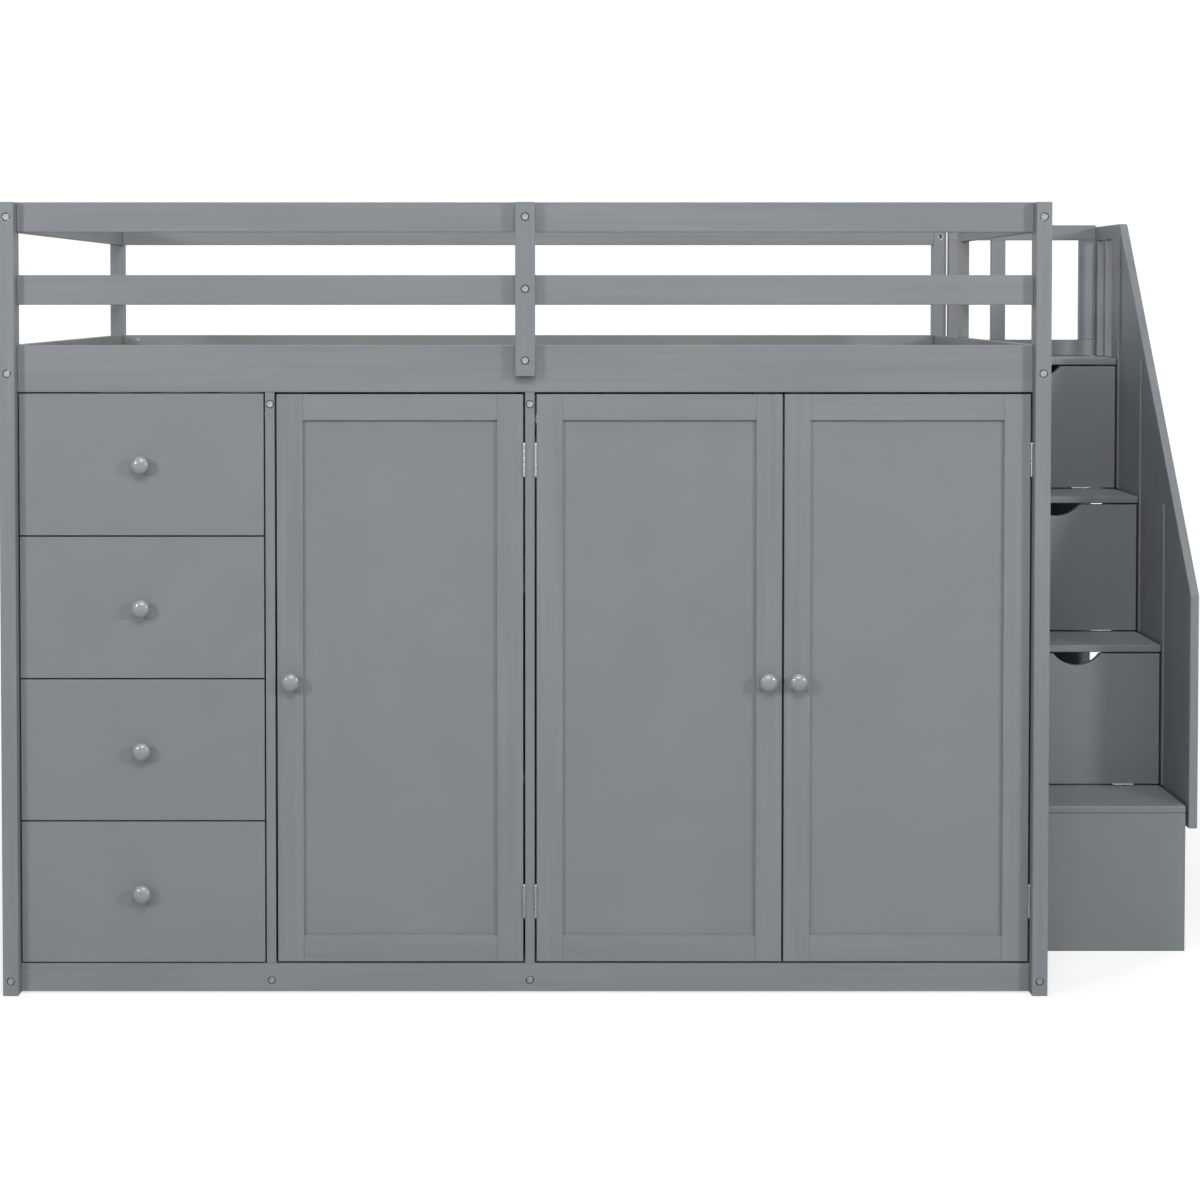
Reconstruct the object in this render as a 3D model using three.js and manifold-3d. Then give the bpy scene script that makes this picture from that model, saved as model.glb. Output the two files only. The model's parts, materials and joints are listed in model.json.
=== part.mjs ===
// Loft bed with drawers, a shelf cupboard, a wardrobe, a desk bay behind them, and storage stairs at one end.
// Millimetres, +Z up. +X runs along the bed towards the stairs, +Y runs from the cupboard fronts to the back.
// Inside the group, X is counted from the bed's plain end, Y from the front posts' faces and Z from the floor.
import * as THREE from 'three';
import { mergeVertices } from 'three/addons/utils/BufferGeometryUtils.js';
import Module from 'manifold-3d';

const wasm = await Module();
wasm.setup();

// ---------------------------------------------------------------- driving dimensions
// Overall
const BED_LENGTH = 2004;
const BED_WIDTH = 1080;
const BED_HEIGHT = 1522;

// Stock and fits
const POST_X = 30; // post section along the bed
const POST_Y = 40; // post section across the bed
const BOARD = 19; // rails, cabinet ends, door leaves and drawer fronts
const PANEL = 18; // partitions, shelves, desk and guard
const PLY = 6; // back and drawer bottoms
const JOINT = 0.3; // clearance between boards that touch
const REVEAL = 3; // gap round a drawer front or flap
const DOOR_REVEAL = 4; // gap round a door, wide enough for its hinges' leaves

// Bed frame
const FOOT = 3; // base rails above the floor
const BASE_RAIL = 54;
const GUARD_RAIL = 57;
const BED_RAIL = 90;
const GUARD_HEIGHT = 273; // bed rail's top edge to the top of the guard
const MID_RAIL_DROP = 139; // top of the guard to the top of the middle rail
const UPRIGHT_WIDTH = 38;
const UPRIGHT_TAIL = 59; // how far the middle upright laps down over the bed rail
const ENTRY_WIDTH = 285; // opening in the guard at the stairs
const SLAT_COUNT = 15;
const SLAT_WIDTH = 70;
const SLAT = 18;
const SLAT_DROP = 54; // bed rail's top edge to the top of the slats
const LEDGER = 20;

// Cabinet under the bed
const CASE_DEPTH = 480; // inside depth behind the fronts
const DRAWER_BAY = 474;
const SHELF_BAY = 480;
const SHELF_TOPS = [418, 787];
const ROD_RADIUS = 12.5;
const ROD_DROP = 78; // underside of the bed rail to the rod's centre
const ROD_FLANGE_RADIUS = 24;
const ROD_FLANGE = 8;

// Drawers
const DRAWER_COUNT = 4;
const DRAWER_WALL = 12;
const DRAWER_BOX_HEIGHT = 200;
const DRAWER_BOX_DEPTH = 450;
const DRAWER_SIDE_CLEARANCE = 6;
const DRAWER_LIFT = 25; // front's lower edge to the box's underside
const RUNNER_WIDTH = 18;
const RUNNER_HEIGHT = 20;
const RUNNER_CLEARANCE = 0.5;

// Doors
const DOOR_STILE = 50;
const DOOR_FRONT_RECESS = 6;
const DOOR_BACK_RECESS = 4;
const DOOR_KNOB_Z = 604;
const DOOR_KNOB_INSET = 27;

// Knobs
const KNOB_RADIUS = 17;
const KNOB_LENGTH = 27;
const KNOB_NECK = 8.5;
const KNOB_HEAD_HALF = 9;

// Stairs
const STEP_COUNT = 4; // three treads and the landing
const GOING = 179.5;
const LANDING_DEPTH = 231;
const LANDING_DROP = 49; // bed rail's top edge to the landing
const STEP_WIDTH = 348;
const TREAD = 15;
const RISER = 15;
const RISER_SETBACK = 2; // riser and flap faces behind the tread's nose
const STAIR_BACK_INSET = 35; // stairs' back short of the bed's back
const FLAP_SIDE_GAP = 2.5;
const NOTCH_HALF_WIDTH = 50;
const NOTCH_DEPTH = 25;
const NOTCH_SHIFT = -5; // notch centre from the step's middle

// Handrail panel and the guard behind the landing
const GUARD_STANDOFF = 7; // step ends to the handrail panel
const JAMB = 5; // strips on the handrail panel beside each flap
const JAMB_DEPTH = 18;
const HAND_BOTTOM = 252;
const HAND_NOSE_HEIGHT = 433; // first tread to the handrail's front corner
const HAND_HEIGHT = 308; // landing to the handrail's top
const HAND_FRONT_INSET = 4;
const HAND_SLOPE_END = 10; // handrail levels off behind the landing's nose
const HAND_TOP_RAIL = 33;
const HAND_BACK_TRIM = 85; // lower part stops short of the stairs' back
const HAND_TRIM_DROP = 80; // and starts this far below the landing
const HAND_SLOTS = [[72, 130], [146, 200]]; // from the landing's nose, open above the landing
const HAND_SLOT_SILL = 2;
const BACK_GUARD_HEIGHT = 312;
const BACK_GUARD_TOP_RAIL = 36;
const BACK_GUARD_SILL = 38;
const BALUSTER = 33;
const BALUSTER_PITCH = 103;

// Desk in the bay behind the cabinet
const DESK_TOP_Z = 750;
const DESK_EDGE_INSET = 4; // desk's sitting edge in from the back posts
const DESK_END_RAIL = 92;
const DESK_CLEAT = 60;

// ---------------------------------------------------------------- places worked out from them
const RAIL_Y = POST_Y - BOARD; // front face of rails, doors and drawers
const BACK_POST_Y = BED_WIDTH - POST_Y;
const RIGHT_POST_X = BED_LENGTH - POST_X;
const BASE_TOP = FOOT + BASE_RAIL;
const BED_RAIL_TOP = BED_HEIGHT - GUARD_HEIGHT;
const BED_RAIL_Z = BED_RAIL_TOP - BED_RAIL;
const TOP_RAIL_Z = BED_HEIGHT - GUARD_RAIL;
const MID_RAIL_TOP = BED_HEIGHT - MID_RAIL_DROP;
const MID_RAIL_Z = MID_RAIL_TOP - GUARD_RAIL;
const SLAT_Z = BED_RAIL_TOP - SLAT_DROP - SLAT;
const INNER_POST_BACK = BACK_POST_Y - ENTRY_WIDTH;
const INNER_POST_FRONT = INNER_POST_BACK - UPRIGHT_WIDTH;

const CASE_BACK_Y = POST_Y + CASE_DEPTH;
const CASE_REAR = CASE_BACK_Y + JOINT + PLY;
const LEFT_PARTITION_X = POST_X + DRAWER_BAY;
const RIGHT_PARTITION_X = LEFT_PARTITION_X + PANEL + SHELF_BAY;
const WARDROBE_X = RIGHT_PARTITION_X + PANEL;
const DRAWER_FRONT_HEIGHT = (BED_RAIL_Z - BASE_TOP - REVEAL * (DRAWER_COUNT + 1)) / DRAWER_COUNT;
const DRAWER_PITCH = DRAWER_FRONT_HEIGHT + REVEAL;

const LANDING_TOP = BED_RAIL_TOP - LANDING_DROP;
const RISE = LANDING_TOP / STEP_COUNT;
const STAIR_X = BED_LENGTH + JOINT;
const STEP_END_X = BED_LENGTH + STEP_WIDTH;
const STAIR_BACK = BED_WIDTH - STAIR_BACK_INSET;
const LANDING_NOSE_Y = STAIR_BACK - LANDING_DEPTH;
const HAND_X = STEP_END_X + GUARD_STANDOFF;
const OVERALL_LENGTH = HAND_X + PANEL;
const FRONTMOST_Y = RAIL_Y - JOINT - KNOB_LENGTH;

// ---------------------------------------------------------------- materials
const paint = new THREE.MeshStandardMaterial({ color: 0x898e92, roughness: 0.5, metalness: 0 });
const knobPaint = new THREE.MeshStandardMaterial({ color: 0x868b8f, roughness: 0.28, metalness: 0 });
const rodSteel = new THREE.MeshStandardMaterial({ color: 0xc8cacc, roughness: 0.3, metalness: 1 });

// ---------------------------------------------------------------- solids
const bed = new THREE.Group();

function box([x0, x1], [y0, y1], [z0, z1]) {
  const geometry = new THREE.BoxGeometry(x1 - x0, y1 - y0, z1 - z0);
  return geometry.translate((x0 + x1) / 2, (y0 + y1) / 2, (z0 + z1) / 2);
}

function toSolid(geometry) {
  const bare = geometry.clone();
  bare.deleteAttribute('normal');
  bare.deleteAttribute('uv');
  const merged = mergeVertices(bare);
  return new wasm.Manifold(new wasm.Mesh({
    numProp: 3,
    vertProperties: new Float32Array(merged.attributes.position.array),
    triVerts: new Uint32Array(merged.index.array),
  }));
}

function toGeometry(solid) {
  const mesh = solid.getMesh();
  const geometry = new THREE.BufferGeometry();
  geometry.setAttribute('position', new THREE.BufferAttribute(mesh.vertProperties, 3));
  geometry.setIndex(new THREE.BufferAttribute(mesh.triVerts, 1));
  geometry.computeVertexNormals();
  return geometry;
}

function join(geometries) {
  return toGeometry(geometries.map(toSolid).reduce((whole, piece) => whole.add(piece)));
}

function cut(geometry, tools) {
  return toGeometry(tools.map(toSolid).reduce((whole, tool) => whole.subtract(tool), toSolid(geometry)));
}

function addMesh(name, geometry, material = paint) {
  const mesh = new THREE.Mesh(geometry, material);
  mesh.name = name;
  bed.add(mesh);
  return mesh;
}

// A plain board between two limits on each axis, as a box centred on its own place.
function addBoard(name, [x0, x1], [y0, y1], [z0, z1]) {
  const mesh = addMesh(name, new THREE.BoxGeometry(x1 - x0, y1 - y0, z1 - z0));
  mesh.position.set((x0 + x1) / 2, (y0 + y1) / 2, (z0 + z1) / 2);
}

// A board cut from a side view: the outline is in (Y, Z) and the thickness runs along X from x0 to x1.
function sidePanel(outline, [x0, x1]) {
  const shape = new THREE.Shape(outline.map(([y, z]) => new THREE.Vector2(y, z)));
  const geometry = new THREE.ExtrudeGeometry(shape, { depth: x1 - x0, bevelEnabled: false });
  // Shape X becomes Y, shape Y becomes Z and the extrusion becomes X: a cyclic turn, so nothing is mirrored.
  geometry.applyMatrix4(new THREE.Matrix4().set(0, 0, 1, 0, 1, 0, 0, 0, 0, 1, 0, 0, 0, 0, 0, 1));
  return geometry.translate(x0, 0, 0);
}

const between = (low, high) => [low + JOINT, high - JOINT];

// ---------------------------------------------------------------- bed frame
const alongBed = between(POST_X, RIGHT_POST_X);
const acrossBed = between(POST_Y, BACK_POST_Y);
const frontRailY = [RAIL_Y, POST_Y];
const backRailY = [BACK_POST_Y, BACK_POST_Y + BOARD];
const leftRailX = [POST_X - BOARD, POST_X];
const rightRailX = [RIGHT_POST_X, RIGHT_POST_X + BOARD];
const topRailZ = [TOP_RAIL_Z, BED_HEIGHT];
const midRailZ = [MID_RAIL_Z, MID_RAIL_TOP];
const bedRailZ = [BED_RAIL_Z, BED_RAIL_TOP];
const baseRailZ = [FOOT, BASE_TOP];

function addPosts() {
  const ends = { left: [0, POST_X], right: [RIGHT_POST_X, BED_LENGTH] };
  for (const [end, x] of Object.entries(ends)) {
    addBoard(`post_front_${end}`, x, [0, POST_Y], [0, BED_HEIGHT]);
    addBoard(`post_back_${end}`, x, [BACK_POST_Y, BED_WIDTH], [0, BED_HEIGHT]);
  }
}

function addSideRails() {
  addBoard('front_top_rail', alongBed, frontRailY, topRailZ);
  addBoard('front_mid_rail', alongBed, frontRailY, midRailZ);
  addBoard('front_bed_rail', alongBed, frontRailY, bedRailZ);
  addBoard('front_base_rail', alongBed, frontRailY, baseRailZ);
  addBoard('back_top_rail', alongBed, backRailY, topRailZ);
  addBoard('back_mid_rail', alongBed, backRailY, midRailZ);
  addBoard('back_bed_rail', alongBed, backRailY, bedRailZ);
  const middle = BED_LENGTH / 2;
  const uprightX = [middle - UPRIGHT_WIDTH / 2, middle + UPRIGHT_WIDTH / 2];
  addBoard('front_guard_upright', uprightX, between(0, RAIL_Y), [BED_RAIL_TOP - UPRIGHT_TAIL, BED_HEIGHT]);
}

function addEndRails() {
  addBoard('left_top_rail', leftRailX, acrossBed, topRailZ);
  addBoard('left_mid_rail', leftRailX, acrossBed, midRailZ);
  addBoard('left_bed_rail', leftRailX, acrossBed, bedRailZ);
  addBoard('left_base_rail', leftRailX, acrossBed, baseRailZ);
  addBoard('right_bed_rail', rightRailX, acrossBed, bedRailZ);
  addBoard('right_base_rail', rightRailX, acrossBed, baseRailZ);
}

// Short guard beside the entry: two rails and the post that ends them, made up as one frame.
function addEntryGuard() {
  const railY = [POST_Y + JOINT, INNER_POST_BACK];
  addMesh('right_guard_frame', join([
    box(rightRailX, railY, topRailZ),
    box(rightRailX, railY, midRailZ),
    box(rightRailX, [INNER_POST_FRONT, INNER_POST_BACK], [BED_RAIL_TOP + JOINT, BED_HEIGHT]),
  ]));
}

// Slats across the bed, screwed to a ledger along each side.
function addSlatDeck() {
  const [x0, x1] = alongBed;
  const [y0, y1] = acrossBed;
  const slatStep = (x1 - x0 - SLAT_WIDTH) / (SLAT_COUNT - 1);
  const ledgerZ = [BED_RAIL_Z + JOINT, SLAT_Z + 1];
  const pieces = [box(alongBed, [y0, y0 + LEDGER], ledgerZ), box(alongBed, [y1 - LEDGER, y1], ledgerZ)];
  for (let i = 0; i < SLAT_COUNT; i += 1) {
    const x = x0 + i * slatStep;
    pieces.push(box([x, x + SLAT_WIDTH], acrossBed, [SLAT_Z, SLAT_Z + SLAT]));
  }
  addMesh('slat_deck', join(pieces));
}

// ---------------------------------------------------------------- cabinet under the bed
const caseY = between(POST_Y, CASE_BACK_Y);
const caseZ = between(BASE_TOP, BED_RAIL_Z);
const drawerBase = (row) => BASE_TOP + REVEAL + row * DRAWER_PITCH; // row 0 is the lowest

// Wooden runners for the drawer boxes, on one side of the drawer bay.
function runners([x0, x1]) {
  const pieces = [];
  for (let row = 0; row < DRAWER_COUNT; row += 1) {
    const top = drawerBase(row) + DRAWER_LIFT - RUNNER_CLEARANCE;
    pieces.push(box([x0, x1], [POST_Y + LEDGER, CASE_BACK_Y - LEDGER], [top - RUNNER_HEIGHT, top]));
  }
  return pieces;
}

function addCase() {
  const partitionY = [RAIL_Y, CASE_BACK_Y];
  addMesh('case_left_end', join([
    box(leftRailX, caseY, caseZ),
    ...runners([POST_X - 1, POST_X + RUNNER_WIDTH]),
  ]));
  addMesh('left_partition', join([
    box([LEFT_PARTITION_X, LEFT_PARTITION_X + PANEL], partitionY, caseZ),
    ...runners([LEFT_PARTITION_X - RUNNER_WIDTH, LEFT_PARTITION_X + 1]),
  ]));
  addBoard('right_partition', [RIGHT_PARTITION_X, WARDROBE_X], partitionY, caseZ);
  addBoard('case_right_end', rightRailX, caseY, caseZ);
  addBoard('case_back', [leftRailX[0], rightRailX[1]], [CASE_BACK_Y + JOINT, CASE_REAR], caseZ);
  const floorY = [POST_Y + JOINT, CASE_REAR];
  const bearerZ = [0, BASE_TOP - PANEL + 1];
  addMesh('case_floor', join([
    box(alongBed, floorY, [BASE_TOP - PANEL, BASE_TOP]),
    box([LEFT_PARTITION_X, LEFT_PARTITION_X + PANEL], floorY, bearerZ),
    box([RIGHT_PARTITION_X, WARDROBE_X], floorY, bearerZ),
  ]));
}

function addShelves() {
  const x = between(LEFT_PARTITION_X + PANEL, RIGHT_PARTITION_X);
  const names = ['lower_shelf', 'upper_shelf'];
  SHELF_TOPS.forEach((top, i) => {
    addBoard(names[i], x, [POST_Y + REVEAL, CASE_BACK_Y], [top - PANEL, top]);
  });
}

// Clothes rod with a round flange at each end, turned as one profile about its length.
function addWardrobeRod() {
  const [x0, x1] = between(WARDROBE_X, RIGHT_POST_X);
  const length = x1 - x0;
  const profile = [
    [0, 0], [ROD_FLANGE_RADIUS, 0], [ROD_FLANGE_RADIUS, ROD_FLANGE], [ROD_RADIUS, ROD_FLANGE],
    [ROD_RADIUS, length - ROD_FLANGE], [ROD_FLANGE_RADIUS, length - ROD_FLANGE],
    [ROD_FLANGE_RADIUS, length], [0, length],
  ];
  const points = profile.map(([radius, height]) => new THREE.Vector2(radius, height));
  const rod = addMesh('wardrobe_rod', new THREE.LatheGeometry(points, 32), rodSteel);
  rod.rotation.z = -Math.PI / 2; // the lathe axis turns from +Y to +X
  rod.position.set(x0, POST_Y + CASE_DEPTH / 2, BED_RAIL_Z - ROD_DROP);
}

// ---------------------------------------------------------------- knobs
// Mushroom knob: a waisted neck that runs into an elliptical head, turned about its length.
function knobGeometry() {
  const headCentre = KNOB_LENGTH - KNOB_HEAD_HALF;
  const start = -Math.acos(KNOB_NECK / KNOB_RADIUS);
  const arcSteps = 12;
  const points = [new THREE.Vector2(0, 0), new THREE.Vector2(KNOB_NECK, 0)];
  for (let i = 0; i < arcSteps; i += 1) {
    const angle = start + ((Math.PI / 2 - start) * i) / arcSteps;
    points.push(new THREE.Vector2(KNOB_RADIUS * Math.cos(angle), headCentre + KNOB_HEAD_HALF * Math.sin(angle)));
  }
  points.push(new THREE.Vector2(0, KNOB_LENGTH));
  return new THREE.LatheGeometry(points, 28);
}

function addKnob(name, x, z) {
  const knob = addMesh(name, knobGeometry(), knobPaint);
  knob.rotation.x = Math.PI; // the lathe axis turns from +Y to -Y, out of the front
  knob.position.set(x, RAIL_Y - JOINT, z);
}

// ---------------------------------------------------------------- drawers, numbered from the top
function addDrawers() {
  const frontX = [POST_X + REVEAL, LEFT_PARTITION_X - REVEAL];
  const boxX = [POST_X + DRAWER_SIDE_CLEARANCE, LEFT_PARTITION_X - DRAWER_SIDE_CLEARANCE];
  const boxY = [POST_Y + JOINT, POST_Y + JOINT + DRAWER_BOX_DEPTH];
  for (let row = 0; row < DRAWER_COUNT; row += 1) {
    const number = DRAWER_COUNT - row;
    const z = drawerBase(row);
    addBoard(`drawer_front_${number}`, frontX, frontRailY, [z, z + DRAWER_FRONT_HEIGHT]);
    const floor = z + DRAWER_LIFT;
    const hollow = box(
      [boxX[0] + DRAWER_WALL, boxX[1] - DRAWER_WALL],
      [boxY[0] + DRAWER_WALL, boxY[1] - DRAWER_WALL],
      [floor + PLY, floor + DRAWER_BOX_HEIGHT + 1],
    );
    addMesh(`drawer_box_${number}`, cut(box(boxX, boxY, [floor, floor + DRAWER_BOX_HEIGHT]), [hollow]));
    addKnob(`drawer_knob_${number}`, (frontX[0] + frontX[1]) / 2, z + DRAWER_FRONT_HEIGHT / 2);
  }
}

// ---------------------------------------------------------------- doors
// Frame-and-panel leaf: one board with a pocket in each face, which leaves the stiles, rails and thin panel.
function addDoor(name, [x0, x1], knobX) {
  const z = [BASE_TOP + DOOR_REVEAL, BED_RAIL_Z - DOOR_REVEAL];
  const panelX = [x0 + DOOR_STILE, x1 - DOOR_STILE];
  const panelZ = [z[0] + DOOR_STILE, z[1] - DOOR_STILE];
  addMesh(`${name}_door`, cut(box([x0, x1], frontRailY, z), [
    box(panelX, [RAIL_Y - 1, RAIL_Y + DOOR_FRONT_RECESS], panelZ),
    box(panelX, [POST_Y - DOOR_BACK_RECESS, POST_Y + 1], panelZ),
  ]));
  addKnob(`${name}_door_knob`, knobX, DOOR_KNOB_Z);
}

function addDoors() {
  const shelfDoor = [LEFT_PARTITION_X + PANEL + DOOR_REVEAL, RIGHT_PARTITION_X - DOOR_REVEAL];
  addDoor('shelf', shelfDoor, shelfDoor[0] + DOOR_KNOB_INSET);
  const meeting = (WARDROBE_X + RIGHT_POST_X) / 2;
  const leftLeaf = [WARDROBE_X + DOOR_REVEAL, meeting - DOOR_REVEAL / 2];
  const rightLeaf = [meeting + DOOR_REVEAL / 2, RIGHT_POST_X - DOOR_REVEAL];
  addDoor('wardrobe_left', leftLeaf, leftLeaf[1] - DOOR_KNOB_INSET);
  addDoor('wardrobe_right', rightLeaf, rightLeaf[0] + DOOR_KNOB_INSET);
}

// ---------------------------------------------------------------- desk
// Desk top on a rail at each end and a cleat along the back of the cabinet, made up as one piece.
function addDesk() {
  const front = CASE_REAR + JOINT;
  const under = DESK_TOP_Z - PANEL + 1;
  addMesh('desk', join([
    box([leftRailX[0], rightRailX[1]], [front, BACK_POST_Y - DESK_EDGE_INSET], [DESK_TOP_Z - PANEL, DESK_TOP_Z]),
    box(leftRailX, [front, BACK_POST_Y - JOINT], [under - DESK_END_RAIL, under]),
    box(rightRailX, [front, BACK_POST_Y - JOINT], [under - DESK_END_RAIL, under]),
    box([POST_X - 1, RIGHT_POST_X + 1], [front, front + PANEL], [under - DESK_CLEAT, under]),
  ]));
}

// ---------------------------------------------------------------- stairs
const stepX = [STAIR_X, STEP_END_X];
const noseY = (step) => LANDING_NOSE_Y - (STEP_COUNT - step) * GOING; // step 1 is the lowest tread
const stairBackY = [STAIR_BACK - PANEL, STAIR_BACK];

function addTreads() {
  for (let step = 1; step < STEP_COUNT; step += 1) {
    const z = step * RISE;
    addBoard(`tread_${step}`, stepX, [noseY(step), stairBackY[0] - JOINT], [z - TREAD, z]);
  }
  addBoard('landing', stepX, [LANDING_NOSE_Y, STAIR_BACK], [LANDING_TOP - TREAD, LANDING_TOP]);
}

// Fixed first riser and the low side board behind it, made up as one plinth.
function addStairPlinth() {
  const z = [0, RISE - TREAD - JOINT];
  const face = noseY(1) + RISER_SETBACK;
  addMesh('stair_plinth', join([
    box(stepX, [face, face + RISER], z),
    box([STEP_END_X - RISER, STEP_END_X], [face, stairBackY[0] - JOINT], z),
  ]));
}

// Stepped side that fills the recess between the bed's right-hand posts, outside the rails and the cabinet end.
function addStairLeftSide() {
  const back = BACK_POST_Y - JOINT;
  const outline = [[noseY(1), 0]];
  for (let step = 1; step <= STEP_COUNT; step += 1) {
    outline.push([noseY(step), step * RISE]);
    outline.push([step < STEP_COUNT ? noseY(step + 1) : back, step * RISE]);
  }
  outline.push([back, 0]);
  const recessX = between(RIGHT_POST_X + BOARD, BED_LENGTH);
  addMesh('stair_left_side', sidePanel(outline, recessX));
}

// Drop-down flap in front of one step, with a finger notch that is an arc of a circle.
function addFlap(step) {
  const x = [BED_LENGTH + REVEAL, STEP_END_X - FLAP_SIDE_GAP];
  const face = noseY(step) + RISER_SETBACK;
  const z = [(step - 1) * RISE + REVEAL, step * RISE - TREAD - REVEAL];
  const radius = (NOTCH_HALF_WIDTH ** 2 + NOTCH_DEPTH ** 2) / (2 * NOTCH_DEPTH);
  const notch = new THREE.CylinderGeometry(radius, radius, 3 * RISER, 72);
  notch.translate((STAIR_X + STEP_END_X) / 2 + NOTCH_SHIFT, face + RISER / 2, z[1] - NOTCH_DEPTH + radius);
  addMesh(`flap_${step}`, cut(box(x, [face, face + RISER], z), [notch]));
}

// Handrail panel outside the steps. Its top follows the flight, its lower back corner is cut away, and two
// upright slots open it above the landing. A thin strip stands on its inner face beside each flap.
function addHandrail() {
  const front = noseY(1) + HAND_FRONT_INSET;
  const top = LANDING_TOP + HAND_HEIGHT;
  const trimY = STAIR_BACK - HAND_BACK_TRIM;
  const trimZ = LANDING_TOP - TREAD - HAND_TRIM_DROP;
  const outline = [
    [front, HAND_BOTTOM], [trimY, HAND_BOTTOM], [trimY, trimZ], [STAIR_BACK, trimZ], [STAIR_BACK, top],
    [LANDING_NOSE_Y + HAND_SLOPE_END, top], [front, RISE + HAND_NOSE_HEIGHT],
  ];
  const slots = HAND_SLOTS.map(([from, to]) => box(
    [HAND_X - 1, OVERALL_LENGTH + 1],
    [LANDING_NOSE_Y + from, LANDING_NOSE_Y + to],
    [LANDING_TOP + HAND_SLOT_SILL, top - HAND_TOP_RAIL],
  ));
  const panel = cut(sidePanel(outline, [HAND_X, OVERALL_LENGTH]), slots);
  const jambs = [];
  for (let step = 2; step <= STEP_COUNT; step += 1) {
    const y = noseY(step);
    const jambTop = Math.min((step + 1) * RISE, top - HAND_TOP_RAIL);
    jambs.push(box([HAND_X - JAMB, HAND_X + 1], [y, y + JAMB_DEPTH], [(step - 1) * RISE, jambTop]));
  }
  addMesh('handrail_panel', join([panel, ...jambs]));
}

function addStairBack() {
  addBoard('stair_back', between(BED_LENGTH, STEP_END_X), stairBackY, [0, LANDING_TOP - TREAD - JOINT]);
}

// Guard across the back of the landing: two rails, an upright at each end and balusters between.
function addBackGuard() {
  const x = [BED_LENGTH + REVEAL, HAND_X - JOINT];
  const bottom = LANDING_TOP + JOINT;
  const top = LANDING_TOP + BACK_GUARD_HEIGHT;
  const pieces = [
    box(x, stairBackY, [bottom, bottom + BACK_GUARD_SILL]),
    box(x, stairBackY, [top - BACK_GUARD_TOP_RAIL, top]),
    box([x[1] - UPRIGHT_WIDTH, x[1]], stairBackY, [bottom, top]),
  ];
  for (let left = x[0]; left + BALUSTER < x[1] - UPRIGHT_WIDTH; left += BALUSTER_PITCH) {
    pieces.push(box([left, left + BALUSTER], stairBackY, [bottom, top]));
  }
  addMesh('back_guard', join(pieces));
}

// ---------------------------------------------------------------- assembly
addPosts();
addSideRails();
addEndRails();
addEntryGuard();
addSlatDeck();
addCase();
addShelves();
addWardrobeRod();
addDrawers();
addDoors();
addDesk();
addTreads();
addStairPlinth();
addStairLeftSide();
for (let step = 2; step <= STEP_COUNT; step += 1) {
  addFlap(step);
}
addHandrail();
addStairBack();
addBackGuard();

// The origin is under the middle of the whole object, on the floor.
bed.position.set(-OVERALL_LENGTH / 2, -(FRONTMOST_Y + BED_WIDTH) / 2, 0);

const model = new THREE.Group();
model.add(bed);
export default model;
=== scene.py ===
# %% [markdown]
# # A loft bed with drawers, a cupboard, a wardrobe and storage stairs
#
# The bed is made of flat boards: solid pine for the posts and rails, and smooth fibreboard for
# the drawer fronts, door panels and stair parts. Everything is sprayed with one satin grey paint.
# Nearly every shape is therefore a board with softly rounded edges, so this lesson first makes
# one good board and then lays it everywhere.
#
# The CAD model has already decided where each board is. This script reads those places from the
# frame, so nothing here is fitted by eye.

# %% The frame
import json
import math

import bpy
import numpy as np
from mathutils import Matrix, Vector
from mathutils.geometry import tessellate_polygon


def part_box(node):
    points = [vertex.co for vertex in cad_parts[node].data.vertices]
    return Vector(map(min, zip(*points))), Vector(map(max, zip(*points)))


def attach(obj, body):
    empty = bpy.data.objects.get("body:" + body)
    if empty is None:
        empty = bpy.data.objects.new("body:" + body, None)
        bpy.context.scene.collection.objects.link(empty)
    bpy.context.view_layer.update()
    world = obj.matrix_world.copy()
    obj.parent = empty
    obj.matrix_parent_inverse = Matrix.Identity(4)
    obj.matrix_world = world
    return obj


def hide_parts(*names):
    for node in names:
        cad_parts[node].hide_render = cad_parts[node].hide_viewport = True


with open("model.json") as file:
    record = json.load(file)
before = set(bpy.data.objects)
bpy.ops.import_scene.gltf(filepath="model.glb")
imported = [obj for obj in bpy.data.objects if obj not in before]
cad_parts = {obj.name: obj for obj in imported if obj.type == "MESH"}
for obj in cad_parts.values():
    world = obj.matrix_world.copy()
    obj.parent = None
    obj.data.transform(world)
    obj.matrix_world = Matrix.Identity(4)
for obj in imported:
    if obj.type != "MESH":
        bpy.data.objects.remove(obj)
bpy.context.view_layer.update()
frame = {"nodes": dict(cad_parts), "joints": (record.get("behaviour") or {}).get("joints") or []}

MM = 0.001
AXIS = {"x": 0, "y": 1, "z": 2}

# %% [markdown]
# ## Reading places from the CAD
#
# A node's box gives the outer size of a board. Some CAD nodes hold several boards in one solid,
# such as the slats with their ledgers. The edges of those boards are still there as corner
# points, so sorting the different heights, widths or depths of the corners gives every edge.
# `levels` does that.


# %% Boxes and levels
def box(node):
    """The node's lowest and highest corner, as two rows of (x, y, z) in metres."""
    return np.array(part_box(node))


def levels(node, axis):
    """The different coordinates of a node's corners on one axis, from low to high."""
    mesh = frame["nodes"][node].data
    points = np.empty(len(mesh.vertices) * 3, np.float32)
    mesh.vertices.foreach_get("co", points)
    return np.unique(np.round(points.reshape(-1, 3)[:, AXIS[axis]].astype(float), 5))


def span(low, high):
    """Two corners as the two rows that a board is made from."""
    return np.array([low, high], float)


print("slat edges along the bed:", len(levels("slat_deck", "x")))

# %% [markdown]
# ## An outline with rounded corners
#
# A board's outline could be typed in point by point, or bevelled by a modifier. Here it is worked
# out, because the same formula then also gives the exact direction in which each point faces.
# With exact normals a flat face stays flat in the light and a rounded edge shades smoothly, even
# with very few faces.


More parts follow.
